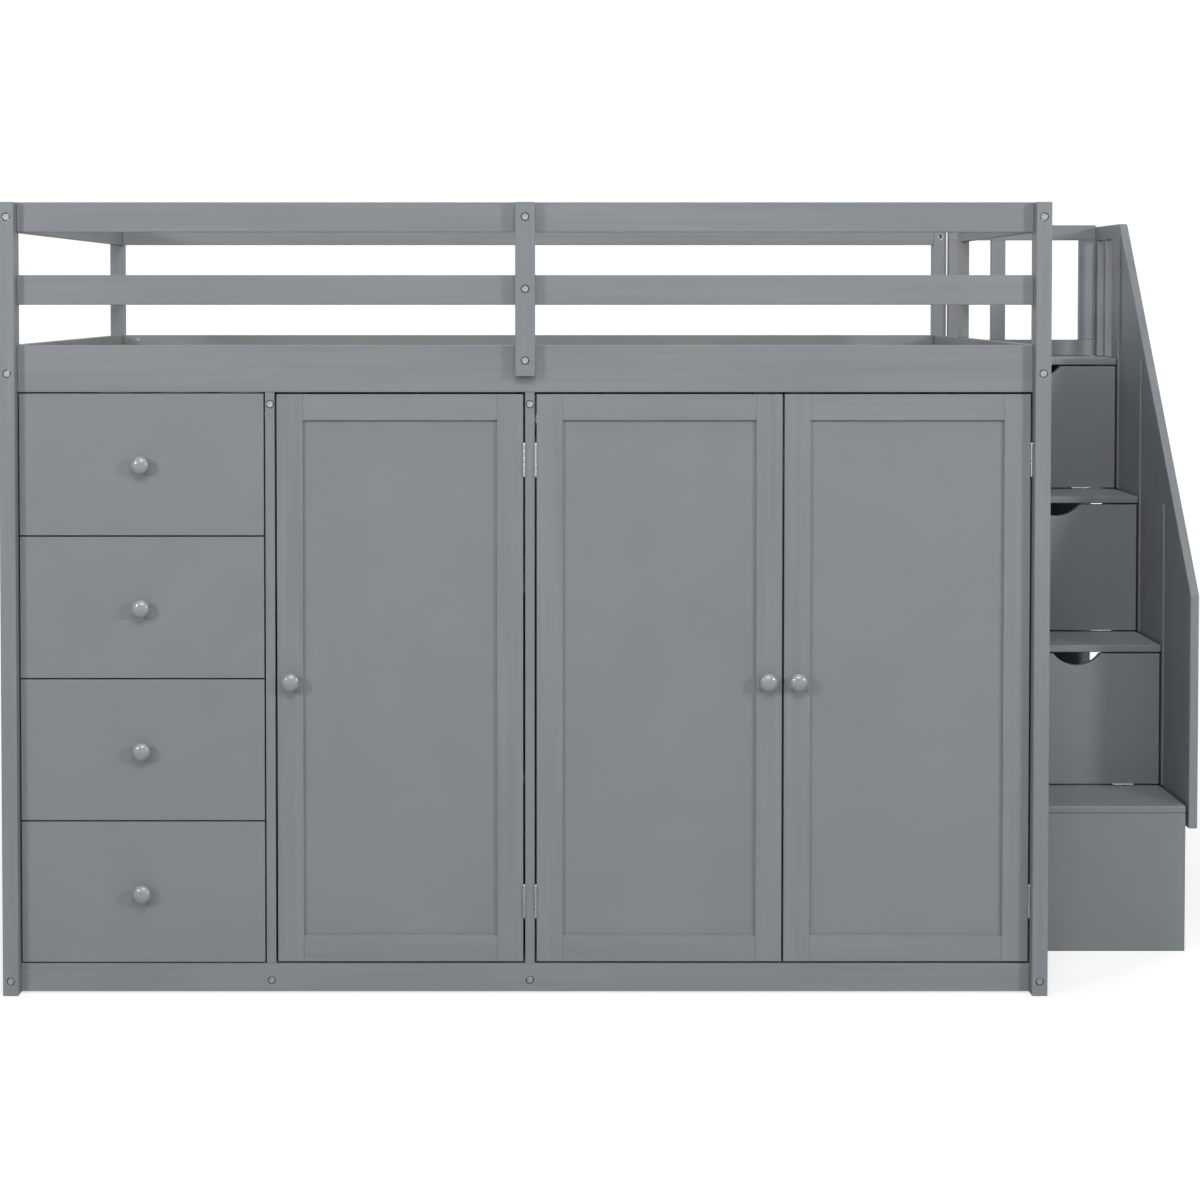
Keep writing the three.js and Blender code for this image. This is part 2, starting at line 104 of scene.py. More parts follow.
# %% Outlines
def corner_arcs(corners, radius, steps=2):
    """Closed outline with an arc in each corner.

    At a corner the path turns by the angle t from direction d to the next one. Let n be d turned a
    quarter to the left, where the material is. The arc starts r * tan(t / 2) before the corner, its
    centre lies r to the inner side of the turn, and its points are centre - side * r * R(s * t) n
    for s from 0 to 1, where R turns by an angle. The outward normal is -R(s * t) n. Returns rows of
    (a, b, normal a, normal b)."""
    corner = np.asarray(corners, float)
    r = np.broadcast_to(np.asarray(radius, float), len(corner))[:, None]
    into = corner - np.roll(corner, 1, axis=0)
    into /= np.linalg.norm(into, axis=1, keepdims=True)
    out = np.roll(into, -1, axis=0)
    turn = np.arctan2(into[:, 0] * out[:, 1] - into[:, 1] * out[:, 0], (into * out).sum(1))[:, None]
    left = np.stack([-into[:, 1], into[:, 0]], 1)
    side = np.sign(turn)
    centre = corner - into * r * np.tan(np.abs(turn) / 2) + side * r * left
    angle = turn * np.linspace(0, 1, steps + 1)
    inward = np.stack([np.cos(angle) * left[:, :1] - np.sin(angle) * left[:, 1:],
                       np.sin(angle) * left[:, :1] + np.cos(angle) * left[:, 1:]], 2)
    points = centre[:, None] - side[:, None] * r[:, None] * inward
    return np.concatenate([points, -inward], 2).reshape(-1, 4)


def disc(a, b, radius, steps=24):
    """Round outline, with the material inside: centre + r * (cos t, sin t)."""
    t = np.arange(steps) * 2 * math.pi / steps
    way = np.stack([np.cos(t), np.sin(t)], 1)
    return np.concatenate([np.array([a, b]) + radius * way, way], 1)


def hole(outline):
    """The same outline run backwards and facing inwards, so that the material is outside it."""
    return outline[::-1] * np.array([1, 1, -1, -1])


def rectangle(a, b, radius, steps=2):
    """Rounded rectangle between the limits a and b."""
    return corner_arcs([(a[0], b[0]), (a[1], b[0]), (a[1], b[1]), (a[0], b[1])], radius, steps)


print("points in a board's outline:", len(rectangle((0, 1), (0, 1), 0.01)))

# %% [markdown]
# ## A board with rounded edges
#
# A sander or a cutter with a small round nose takes the sharp edge off every real board, and that
# thin rounded line is what catches the light. `plate` carries an outline through the thickness of
# the board. Near each face the outline shrinks along a quarter circle, and the flat faces close
# it. Holes are just more outlines.
#
# Wood has a direction, so each board also gets a `grain` attribute: its coordinates turned so
# that the first number always runs along the wood. A random shift per board makes sure that no
# two boards show the same grain.

# %% Plates and boards
EDGE_STEPS = 2
BOARD_EDGE = 1.5 * MM
THIN_EDGE = 1 * MM  # for thin boards and hidden ones
CORNER_SHARE = 1.2  # an outline's corners are rounded this much more than its edges
HOLE_EDGE_SHARE = 0.4  # a drilled hole is rounded less than a board's edge
PLANES = {"x": (1, 2, 0), "y": (0, 2, 1), "z": (0, 1, 2)}
grain_shift = np.random.default_rng(11)


def plate(outline, axis, low, high, edge, grain, holes=()):
    """A flat piece: ring(phi) = outline - normal * edge * (1 - cos phi), carried from low to high
    along the axis.

    phi runs from -90 to 0 degrees at the low face and from 0 to 90 at the high one, the height is
    the face's own plus or minus edge * (1 - |sin phi|), and the surface normal is cos(phi) *
    outline normal + sin(phi) * axis."""
    a, b, c = PLANES[axis]
    loops = [outline, *holes]
    loop = np.concatenate(loops)
    shares = [1] + [HOLE_EDGE_SHARE] * len(holes)
    share = np.concatenate([np.full(len(line), part) for line, part in zip(loops, shares)])
    quarter = np.linspace(0, math.pi / 2, EDGE_STEPS + 1)
    phi = np.concatenate([quarter - math.pi / 2, quarter])[:, None]
    height = np.where(phi <= 0, low + edge * (1 + np.sin(phi)), high - edge * (1 - np.sin(phi)))
    height[EDGE_STEPS] = low + edge
    height[EDGE_STEPS + 1] = high - edge
    inset = edge * (1 - np.cos(phi)) * share
    points = np.empty((len(phi), len(loop), 3))
    points[..., a] = loop[:, 0] - loop[:, 2] * inset
    points[..., b] = loop[:, 1] - loop[:, 3] * inset
    points[..., c] = height
    normals = np.empty_like(points)
    normals[..., a] = loop[:, 2] * np.cos(phi)
    normals[..., b] = loop[:, 3] * np.cos(phi)
    normals[..., c] = np.sin(phi)
    starts = np.cumsum([0] + [len(line) for line in loops])
    after = np.concatenate([s + np.roll(np.arange(len(line)), -1) for s, line in zip(starts, loops)])
    ring = np.arange(len(phi) - 1)[:, None] * len(loop)
    here = np.arange(len(loop))
    quads = np.stack([ring + here, ring + after, ring + len(loop) + after, ring + len(loop) + here], -1)
    flat = np.zeros((len(loop), 3))
    flat[:, :2] = points[0][:, [a, b]]
    rims = [flat[s:s + len(line)].tolist() for s, line in zip(starts, loops)]
    fill = np.array(tessellate_polygon(rims))
    p, q, r = flat[fill[:, 0]], flat[fill[:, 1]], flat[fill[:, 2]]
    backwards = np.cross(q - p, r - p)[:, 2] < 0
    fill[backwards] = fill[backwards, ::-1]
    triangles = np.concatenate([fill[:, ::-1], fill + (len(phi) - 1) * len(loop)])
    quads = quads.reshape(-1, 4)
    if axis == "y":  # x, z and y make a left-handed set, so the faces are turned over
        quads, triangles = quads[:, ::-1], triangles[:, ::-1]
    points = points.reshape(-1, 3)
    along = AXIS[grain]
    across = [k for k in range(3) if k not in (along, c)]
    thickness = [c] if c != along else []
    order = [along, *across, *thickness]
    shift = grain_shift.uniform(-5, 5, 3)
    return {"points": points, "normals": normals.reshape(-1, 3), "grain": points[:, order] + shift,
            "faces": [quads, triangles]}


def board(corners, axis, grain, edge=BOARD_EDGE, holes=()):
    """A rectangular board with its thickness along the axis."""
    a, b, c = PLANES[axis]
    outline = rectangle(corners[:, a], corners[:, b], edge * CORNER_SHARE, EDGE_STEPS)
    return plate(outline, axis, *corners[:, c], edge, grain, holes)


print("a board has", len(board(box("post_front_left"), "y", "z")["points"]), "points")

# %% [markdown]
# ## A turned shape
#
# Knobs, hinge barrels and the clothes rod are turned: one profile spun round an axis. The profile
# runs from the axis outwards, along the length and back to the axis, so both ends close in a
# single point.

# %% Turning
WAYS = {"x": ([0, 1, 0], [0, 0, 1], [1, 0, 0]), "y": ([0, 0, 1], [1, 0, 0], [0, 1, 0]),
        "z": ([1, 0, 0], [0, 1, 0], [0, 0, 1]), "-y": ([1, 0, 0], [0, 0, 1], [0, -1, 0])}


def turned(profile, start, way, steps=32):
    """Spins rows of (radius, height): start + radius * (cos t * u + sin t * v) + height * w.

    The normal is the profile's own tangent turned a quarter to the right, spun in the same way."""
    u, v, w = np.array(WAYS[way], float)
    tangent = np.gradient(profile, axis=0)
    tangent /= np.linalg.norm(tangent, axis=1, keepdims=True)
    facing = np.stack([tangent[:, 1], -tangent[:, 0]], 1)
    facing[0] = (0, -1)
    facing[-1] = (0, 1)
    t = np.arange(steps) * 2 * math.pi / steps
    spin = np.cos(t)[:, None] * u + np.sin(t)[:, None] * v
    middle = profile[1:-1]
    ring = middle[:, :1, None] * spin + middle[:, 1:, None] * w
    ring_normals = facing[1:-1, :1, None] * spin + facing[1:-1, 1:, None] * w
    points = np.concatenate([[profile[0, 1] * w], ring.reshape(-1, 3), [profile[-1, 1] * w]])
    points += np.asarray(start)
    normals = np.concatenate([[-w], ring_normals.reshape(-1, 3), [w]])
    j = np.arange(steps)
    k = np.roll(j, -1)
    row = 1 + np.arange(len(middle) - 1)[:, None] * steps
    quads = np.stack([row + j, row + k, row + steps + k, row + steps + j], -1).reshape(-1, 4)
    last = len(points) - 1
    top = last - steps
    first_fan = np.stack([0 * j, 1 + k, 1 + j], 1)
    last_fan = np.stack([0 * j + last, top + j, top + k], 1)
    ends = np.concatenate([first_fan, last_fan])
    return {"points": points, "normals": normals, "grain": points[:, [0, 1, 2]], "faces": [quads, ends]}


def polyline(points, per_leg=6):
    """Points along straight legs, so that a turned profile keeps its flat stretches flat."""
    points = np.asarray(points, float)
    s = np.linspace(0, 1, per_leg, endpoint=False)[:, None]
    legs = points[:-1, None] + (points[1:] - points[:-1])[:, None] * s
    return np.concatenate([legs.reshape(-1, 2), points[-1:]])


print("ways to turn:", ", ".join(WAYS))

# %% [markdown]
# ## From parts to a Blender object
#
# `piece` joins any number of boards and turned parts into one mesh, gives it its material, lets
# it ride on a body and, where it stands for a CAD node, hides that node. The exact normals go in
# as custom normals.


# %% Pieces
def piece(name, parts, material, body="frame", replaces=()):
    """One object from parts, riding on a body."""
    starts = np.cumsum([0] + [len(p["points"]) for p in parts])
    faces = [f for p, s in zip(parts, starts) for block in p["faces"] for f in (block + s).tolist()]
    points = np.concatenate([p["points"] for p in parts])
    normals = np.concatenate([p["normals"] for p in parts])
    mesh = bpy.data.meshes.new(name)
    mesh.from_pydata(points.tolist(), [], faces)
    mesh.attributes.new("grain", "FLOAT_VECTOR", "POINT")
    grain = np.concatenate([p["grain"] for p in parts]).astype(np.float32)
    mesh.attributes["grain"].data.foreach_set("vector", grain.ravel())
    mesh.shade_smooth()
    mesh.normals_split_custom_set_from_vertices(normals.tolist())
    if mesh.validate():
        print("mended faces in", name)
    mesh.materials.append(material)
    made = bpy.data.objects.new(name, mesh)
    bpy.context.scene.collection.objects.link(made)
    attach(made, body)
    if replaces:
        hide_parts(*replaces)
    return made


def finished(node, parts, material, body="frame"):
    """The finished version of one CAD node."""
    return piece(f"{node}_finished", parts, material, body, [node])


# %% [markdown]
# ## Materials
#
# `add` adds one node with its settings, and `fill` sets a node's inputs or joins them to other
# nodes. Colours are written as sRGB hex and turned to linear light by one function.


# %% Colour and nodes
def linear(hex_colour):
    """sRGB to linear: c / 12.92 below 0.04045, and ((c + 0.055) / 1.055) ** 2.4 above it."""
    c = np.array([int(hex_colour[i:i + 2], 16) for i in (1, 3, 5)]) / 255
    light = np.where(c <= 0.04045, c / 12.92, ((c + 0.055) / 1.055) ** 2.4)
    return (*light.tolist(), 1.0)


def fill(tree, node, inputs):
    """Gives a node's inputs their values, or joins them to other nodes' sockets."""
    for name, value in inputs.items():
        if isinstance(value, bpy.types.NodeSocket):
            tree.links.new(value, node.inputs[name])
        else:
            node.inputs[name].default_value = value


def add(tree, kind, inputs=None, **settings):
    """Adds one node. Settings are its own properties, and inputs are as for fill."""
    node = tree.nodes.new(kind)
    for name, value in settings.items():
        setattr(node, name, value)
    fill(tree, node, inputs or {})
    return node


def new_material(name, **surface):
    """A material with an empty tree but for a Principled surface with these inputs."""
    material = bpy.data.materials.new(name)
    material.use_nodes = True
    tree = material.node_tree
    tree.nodes.clear()
    inputs = {key.replace("_", " "): value for key, value in surface.items()}
    shader = add(tree, "ShaderNodeBsdfPrincipled", inputs)
    add(tree, "ShaderNodeOutputMaterial", {"Surface": shader.outputs["BSDF"]})
    return material, tree, shader


print("mid grey in linear light:", [round(x, 3) for x in linear("#808080")[:3]])

# %% [markdown]
# ### Satin paint on pine
#
# The posts and rails are finger-jointed pine, sprayed twice with a satin nitrocellulose paint.
# The paint hides the colour of the wood but sinks a little into the softer spring wood, so the
# eye sees faint streaks along each board and a very shallow ribbing. The streaks are noise
# stretched along the grain. Real growth rings are 2 mm apart, too fine for a whole-bed picture,
# so the ribbing is drawn about 5 mm wide.

# %% Satin paint on pine
PAINT_DARK = "#888d92"
PAINT_LIGHT = "#91969a"


def painted_pine():
    """Streaks and clouds in the colour, and ribs in the bump, all along the grain."""
    material, tree, shader = new_material("satin_paint_on_pine", IOR=1.5, Roughness=0.45)
    grain = add(tree, "ShaderNodeAttribute", attribute_name="grain").outputs["Vector"]
    streak_place = add(tree, "ShaderNodeMapping", {"Vector": grain, "Scale": (2.5, 95.0, 95.0)})
    streaks = add(tree, "ShaderNodeTexNoise",
                  {"Vector": streak_place.outputs[0], "Scale": 1.0, "Detail": 3.0, "Roughness": 0.6})
    cloud_place = add(tree, "ShaderNodeMapping", {"Vector": grain, "Scale": (2.0, 9.0, 9.0)})
    clouds = add(tree, "ShaderNodeTexNoise",
                 {"Vector": cloud_place.outputs[0], "Scale": 1.0, "Detail": 2.0})
    both = add(tree, "ShaderNodeMath", {0: streaks.outputs["Fac"], 1: clouds.outputs["Fac"]},
               operation="ADD")
    tone = add(tree, "ShaderNodeMapRange",
               {"Value": both.outputs[0], "From Min": 0.75, "From Max": 1.25})
    colour = add(tree, "ShaderNodeMix",
                 {"Factor": tone.outputs[0], 6: linear(PAINT_DARK), 7: linear(PAINT_LIGHT)},
                 data_type="RGBA")
    rib_place = add(tree, "ShaderNodeMapping", {"Vector": grain, "Scale": (9.0, 210.0, 210.0)})
    ribs = add(tree, "ShaderNodeTexNoise",
               {"Vector": rib_place.outputs[0], "Scale": 1.0, "Detail": 4.0, "Roughness": 0.65})
    sheen = add(tree, "ShaderNodeMapRange",
                {"Value": ribs.outputs["Fac"], "To Min": 0.38, "To Max": 0.52})
    bump = add(tree, "ShaderNodeBump",
               {"Height": ribs.outputs["Fac"], "Distance": 0.14 * MM, "Strength": 1.0})
    fill(tree, shader, {"Base Color": colour.outputs[2], "Roughness": sheen.outputs[0],
                        "Normal": bump.outputs[0]})
    return material


PAINTED_PINE = painted_pine()
print("material:", PAINTED_PINE.name)

# %% [markdown]
# ### Satin paint on fibreboard
#
# Drawer fronts, door panels, flaps and treads are medium-density fibreboard. It has no grain, so
# the paint lies on it like a skin: an even colour, a slow cloudiness from the spray passes and
# the fine pebble of sprayed paint. Real pebbling is about 1 mm across and is drawn at 4 mm, so
# that it shows at all.


# %% Satin paint on fibreboard
def painted_board():
    """Slow clouds in the colour and the gloss, and a fine pebble in the bump."""
    material, tree, shader = new_material("satin_paint_on_fibreboard", IOR=1.5, Roughness=0.42)
    place = add(tree, "ShaderNodeTexCoord").outputs["Object"]
    clouds = add(tree, "ShaderNodeTexNoise",
                 {"Vector": place, "Scale": 6.0, "Detail": 4.0, "Roughness": 0.55})
    tone = add(tree, "ShaderNodeMapRange",
               {"Value": clouds.outputs["Fac"], "From Min": 0.3, "From Max": 0.7})
    colour = add(tree, "ShaderNodeMix",
                 {"Factor": tone.outputs[0], 6: linear("#8a8f93"), 7: linear("#8e9397")},
                 data_type="RGBA")
    pebble = add(tree, "ShaderNodeTexNoise", {"Vector": place, "Scale": 260.0, "Detail": 3.0})
    sheen = add(tree, "ShaderNodeMapRange",
                {"Value": clouds.outputs["Fac"], "To Min": 0.36, "To Max": 0.5})
    bump = add(tree, "ShaderNodeBump",
               {"Height": pebble.outputs["Fac"], "Distance": 0.08 * MM, "Strength": 1.0})
    fill(tree, shader, {"Base Color": colour.outputs[2], "Roughness": sheen.outputs[0],
                        "Normal": bump.outputs[0]})
    return material


PAINTED_BOARD = painted_board()
print("material:", PAINTED_BOARD.name)

# %% [markdown]
# ### Gloss paint on turned beech
#
# The knobs are dipped rather than sprayed, so their paint is thicker and glossier. A clear coat
# on top of the grey gives the small sharp lights that a satin surface doesn't have.


# %% Gloss paint
def painted_knob():
    """Grey under a clear coat, with the slight sag of a dipped paint."""
    material, tree, shader = new_material("gloss_paint_on_turned_beech", IOR=1.5, Roughness=0.32,
                                          Coat_Weight=1.0, Coat_Roughness=0.11)
    place = add(tree, "ShaderNodeTexCoord").outputs["Object"]
    sag = add(tree, "ShaderNodeTexNoise", {"Vector": place, "Scale": 90.0, "Detail": 2.0})
    colour = add(tree, "ShaderNodeMix",
                 {"Factor": sag.outputs["Fac"], 6: linear("#969b9f"), 7: linear("#a0a5a9")},
                 data_type="RGBA")
    bump = add(tree, "ShaderNodeBump",
               {"Height": sag.outputs["Fac"], "Distance": 0.02 * MM, "Strength": 1.0})
    fill(tree, shader, {"Base Color": colour.outputs[2], "Normal": bump.outputs[0]})
    return material


PAINTED_KNOB = painted_knob()
print("material:", PAINTED_KNOB.name)

# %% [markdown]
# ### Zinc-plated steel
#
# Screws, hinges and the clothes rod are mild steel with bright zinc on it. The plating is a metal,
# so it has no colour of its own but reflects the room, a little blurred, with cloudy patches where
# the crystals differ. The same material is made twice, the second time from darker greys for the
# bolt heads. The bright zinc lines the bottoms of their sockets, a painted highlight that keeps each
# socket's middle bright where it lies in shade.


# %% Zinc-plated steel
def zinc_steel(name, dark, light):
    """Metal between two greys, with patches in its colour and its blur."""
    material, tree, shader = new_material(name, Metallic=0.92, Roughness=0.27)
    place = add(tree, "ShaderNodeTexCoord").outputs["Object"]
    patches = add(tree, "ShaderNodeTexNoise", {"Vector": place, "Scale": 420.0, "Detail": 3.0})
    colour = add(tree, "ShaderNodeMix",
                 {"Factor": patches.outputs["Fac"], 6: linear(dark), 7: linear(light)},
                 data_type="RGBA")
    blur = add(tree, "ShaderNodeMapRange",
               {"Value": patches.outputs["Fac"], "To Min": 0.2, "To Max": 0.34})
    fill(tree, shader, {"Base Color": colour.outputs[2], "Roughness": blur.outputs[0]})
    return material


ZINC = zinc_steel("bright_zinc_plated_steel", "#b0b3b6", "#d6d9db")
# darker copy for the bolt heads; the bright zinc in their sockets is a painted highlight
DARKER_ZINC = zinc_steel("dull_zinc_plated_steel", "#a9adb0", "#c6c9cc")
print("materials:", ZINC.name, "and", DARKER_ZINC.name)

# %% [markdown]
# ### Planed pine
#
# The slats, the drawer boxes and the small door stops are left bare. Pine shows warm growth
# rings: wide pale spring wood and narrow amber summer wood. Distorted stripes across the grain
# give the rings, and noise stretched along it gives the fibres. The stripes are about 10 mm apart
# before they are distorted, as on a slat planed from fast-grown pine, and the fibres 2 mm.


# %% Planed pine
def planed_pine():
    """Distorted bands across the grain for the rings, and long thin noise for the fibres."""
    material, tree, shader = new_material("planed_bare_pine", IOR=1.5, Roughness=0.6)
    grain = add(tree, "ShaderNodeAttribute", attribute_name="grain").outputs["Vector"]
    place = add(tree, "ShaderNodeMapping", {"Vector": grain, "Scale": (1.6, 30.0, 30.0)})
    rings = add(tree, "ShaderNodeTexWave", {"Vector": place.outputs[0], "Scale": 1.0, "Distortion": 5.0,
                                            "Detail": 2.0, "Detail Scale": 0.7},
                wave_type="BANDS", bands_direction="Y")
    sharp = add(tree, "ShaderNodeMath", {0: rings.outputs["Fac"], 1: 3.0}, operation="POWER")
    colour = add(tree, "ShaderNodeMix",
                 {"Factor": sharp.outputs[0], 6: linear("#e8d9bd"), 7: linear("#cfb087")},
                 data_type="RGBA")
    fibre_place = add(tree, "ShaderNodeMapping", {"Vector": grain, "Scale": (14.0, 500.0, 500.0)})
    fibres = add(tree, "ShaderNodeTexNoise",
                 {"Vector": fibre_place.outputs[0], "Scale": 1.0, "Detail": 3.0})
    worn = add(tree, "ShaderNodeMix", {"Factor": fibres.outputs["Fac"], 6: colour.outputs[2],
                                       7: linear("#decaa6")}, data_type="RGBA")
    bump = add(tree, "ShaderNodeBump",
               {"Height": fibres.outputs["Fac"], "Distance": 0.15 * MM, "Strength": 1.0})
    fill(tree, shader, {"Base Color": worn.outputs[2], "Normal": bump.outputs[0]})
    return material


BARE_PINE = planed_pine()
print("material:", BARE_PINE.name)

# %% [markdown]
# ## Bed frame
#
# Four posts stand at the corners, and the rails run between them, bolted through the posts from
# the front. The bolt heads sit in drilled recesses, so the front posts and the middle upright get
# real round holes, and the heads go into them later. The back right post keeps one empty hole,
# for a rail that the stairs' opening replaces.

# %% Posts and upright
POST_EDGE = 1.5 * MM
RAIL_EDGE = 1.2 * MM
BOLT_RADIUS = 6.3 * MM
BOLT_HOLE = 7.8 * MM
EMPTY_HOLE = 4.5 * MM
BED_BOLT_DROP = 9 * MM  # bolts sit a little off the middles of their rails
FOOT_BOLT_DROP = 2 * MM
MID_BOLT_LIFT = 2 * MM
UPRIGHT_FOOT_LIFT = 16 * MM
EMPTY_HOLE_DROP = 9 * MM
BASE_BOLT_DROP = 5.5 * MM


def middle(node):
    """The middle of a node's box."""
    return box(node).mean(axis=0)


top_z = middle("front_top_rail")[2]
mid_z = middle("front_mid_rail")[2]
bed_z = middle("front_bed_rail")[2]
base_z = middle("front_base_rail")[2]
POST_BOLTS = [top_z, bed_z - BED_BOLT_DROP, base_z - FOOT_BOLT_DROP]
UPRIGHT_BOLTS = [top_z, mid_z + MID_BOLT_LIFT, bed_z + UPRIGHT_FOOT_LIFT]
EMPTY_HOLE_Z = top_z - EMPTY_HOLE_DROP
BASE_BOLT_Z = base_z - BASE_BOLT_DROP


def bolt_holes(x, heights, radius=BOLT_HOLE):
    """Round holes one above the other in a board that faces the front."""
    return [hole(disc(x, z, radius)) for z in heights]


post_holes = {
    "post_front_left": POST_BOLTS,
    "post_front_right": POST_BOLTS,
    "front_guard_upright": UPRIGHT_BOLTS,
}
for node, heights in post_holes.items():
    holes = bolt_holes(middle(node)[0], heights)
    finished(node, [board(box(node), "y", "z", POST_EDGE, holes)], PAINTED_PINE)
empty_hole = bolt_holes(middle("post_back_right")[0], [EMPTY_HOLE_Z], EMPTY_HOLE)
finished("post_back_left", [board(box("post_back_left"), "y", "z", POST_EDGE)], PAINTED_PINE)
drilled_post = board(box("post_back_right"), "y", "z", POST_EDGE, empty_hole)
finished("post_back_right", [drilled_post], PAINTED_PINE)
print("bolt heights:", [round(float(z), 3) for z in POST_BOLTS])

# %% Rails
rails = {
    "front_top_rail": "yx", "front_mid_rail": "yx", "front_bed_rail": "yx", "front_base_rail": "yx",
    "back_top_rail": "yx", "back_mid_rail": "yx", "back_bed_rail": "yx",
    "left_top_rail": "xy", "left_mid_rail": "xy", "left_bed_rail": "xy", "left_base_rail": "xy",
    "right_bed_rail": "xy", "right_base_rail": "xy",
}
partition_middles = [levels("left_partition", "x")[1:].mean(), middle("right_partition")[0]]
base_bolts = [h for x in partition_middles for h in bolt_holes(x, [BASE_BOLT_Z])]
for node, (axis, grain) in rails.items():
    holes = base_bolts if node == "front_base_rail" else ()
    finished(node, [board(box(node), axis, grain, RAIL_EDGE, holes)], PAINTED_PINE)
print("rails:", len(rails))

# %% [markdown]
# The short guard beside the entry is two rails that run into a post. In the CAD it is one solid,
# so its boards are read from its corner levels.

# %% Short guard
guard_y = levels("right_guard_frame", "y")
guard_z = levels("right_guard_frame", "z")
guard_x = box("right_guard_frame")[:, 0]


def guard_rail(z0, z1):
    """One rail of the short guard between two heights."""
    rail = span((guard_x[0], guard_y[0], z0), (guard_x[1], guard_y[1], z1))
    return board(rail, "x", "y", RAIL_EDGE)


guard_post = span((guard_x[0], guard_y[1], guard_z[0]), (guard_x[1], guard_y[2], guard_z[-1]))
guard_rails = [guard_rail(*guard_z[1:3]), guard_rail(*guard_z[3:5])]
finished("right_guard_frame", guard_rails + [board(guard_post, "x", "z", RAIL_EDGE)], PAINTED_PINE)
print("guard levels:", len(guard_y), len(guard_z))

# %% [markdown]
# ## Slats
#
# The mattress lies on bare pine slats, which rest on a ledger along each side. Every pair of
# levels along the bed is one slat.

# %% Slat deck
slat_x = levels("slat_deck", "x").reshape(-1, 2)
slat_y = levels("slat_deck", "y")
slat_z = levels("slat_deck", "z")
SLAT = 18 * MM
SLAT_EDGE = 2 * MM
LEDGER = 20 * MM
slat_bottom = slat_z[-1] - SLAT
slat_top = slat_z[-1]
slats = [board(span((x0, slat_y[0], slat_bottom), (x1, slat_y[-1], slat_top)), "z", "y", SLAT_EDGE)
         for x0, x1 in slat_x]
ledger_ends = [(slat_y[0], slat_y[0] + LEDGER), (slat_y[-1] - LEDGER, slat_y[-1])]
ledgers = [board(span((slat_x[0, 0], y0, slat_z[0]), (slat_x[-1, 1], y1, slat_bottom)), "y", "x")
           for y0, y1 in ledger_ends]
finished("slat_deck", slats + ledgers, BARE_PINE)
print("slats:", len(slats))

# %% [markdown]
# ## Cabinet
#
# Under the bed stand the ends, two partitions, a floor, a back and two shelves. The left end and
# the left partition carry wooden runners for the drawers. The runners' heights are the inner
# levels of those nodes, in pairs.


# %% Cabinet boards
def runners(node, x0, x1):
    """The runners on one side of the drawers, between two limits along the bed."""
    y = levels(node, "y")
    z = levels(node, "z")[1:-1].reshape(-1, 2)
    return [board(span((x0, y[-3], z0), (x1, y[-2], z1)), "x", "y", THIN_EDGE) for z0, z1 in z]


left_end = box("case_left_end")
left_end_x = levels("case_left_end", "x")
left_end[1, 0] = left_end_x[1]
left_end_parts = [board(left_end, "x", "z"), *runners("case_left_end", *left_end_x[1:])]
finished("case_left_end", left_end_parts, PAINTED_BOARD)
left_partition = box("left_partition")
partition_x = levels("left_partition", "x")
left_partition[0, 0] = partition_x[1]
right_partition = box("right_partition")
LIPPING = 8 * MM
LIPPING_EDGE = 0.6 * MM
SEAM_EDGE = 0.3 * MM
BACK_EDGE = 0.6 * MM
PARTITION_BOLT_DROP = 23 * MM
PARTITION_BOLT_Z = right_partition[1, 2] - PARTITION_BOLT_DROP


def lipped_partition(corners):
    """A board with a solid strip glued to its front edge, drilled for the bolt at the top."""
    seam = corners[0, 1] + LIPPING
    strip = span(corners[0], (corners[1, 0], seam, corners[1, 2]))
    rest = span((corners[0, 0], seam, corners[0, 2]), corners[1])
    holes = bolt_holes(corners[:, 0].mean(), [PARTITION_BOLT_Z])
    return [board(strip, "y", "z", LIPPING_EDGE, holes), board(rest, "x", "z", SEAM_EDGE)]


partition_parts = [*lipped_partition(left_partition), *runners("left_partition", *partition_x[:2])]
finished("left_partition", partition_parts, PAINTED_BOARD)
finished("right_partition", lipped_partition(right_partition), PAINTED_BOARD)
finished("case_right_end", [board(box("case_right_end"), "x", "z")], PAINTED_BOARD)
finished("case_back", [board(box("case_back"), "y", "z", BACK_EDGE)], PAINTED_BOARD)
for node in ("lower_shelf", "upper_shelf"):
    finished(node, [board(box(node), "z", "x")], PAINTED_BOARD)

floor_x = levels("case_floor", "x")
floor_z = levels("case_floor", "z")
floor_y = box("case_floor")[:, 1]
floor_board = span((floor_x[0], floor_y[0], floor_z[1]), (floor_x[-1], floor_y[1], floor_z[2]))
bearers = [board(span((x0, floor_y[0], floor_z[0]), (x1, floor_y[1], floor_z[1])), "x", "y")
           for x0, x1 in floor_x[1:-1].reshape(-1, 2)]
finished("case_floor", [board(floor_board, "z", "x"), *bearers], PAINTED_BOARD)
print("bearers:", len(bearers))

# %% [markdown]
# ## Clothes rod
#
# A zinc-plated tube between two round flanges. The profile is spun round the bed's length. Each
# flange has a soft lip, because it is pressed from sheet.

# %% Clothes rod
rod_box = box("wardrobe_rod")
rod_length = rod_box[1, 0] - rod_box[0, 0]
ROD_RADIUS = 12.5 * MM
FLANGE = 8 * MM
FLANGE_LIP = 1.5 * MM
flange_radius = (rod_box[1, 2] - rod_box[0, 2]) / 2
half_rod = np.array([
    (0, 0),
    (flange_radius, 0),
    (flange_radius, 0.4 * FLANGE),
    (flange_radius - FLANGE_LIP, FLANGE * 0.5),
    (ROD_RADIUS + FLANGE_LIP, FLANGE * 0.6),
    (ROD_RADIUS, FLANGE),
    (ROD_RADIUS, rod_length / 2),
])
other_half = half_rod[-2::-1] * (1, -1) + (0, rod_length)
rod_start = (rod_box[0, 0], *middle("wardrobe_rod")[1:])
rod_profile = polyline(np.concatenate([half_rod, other_half]))
finished("wardrobe_rod", [turned(rod_profile, rod_start, "x", 40)], ZINC)
print("rod length in mm:", round(float(rod_length) / MM))

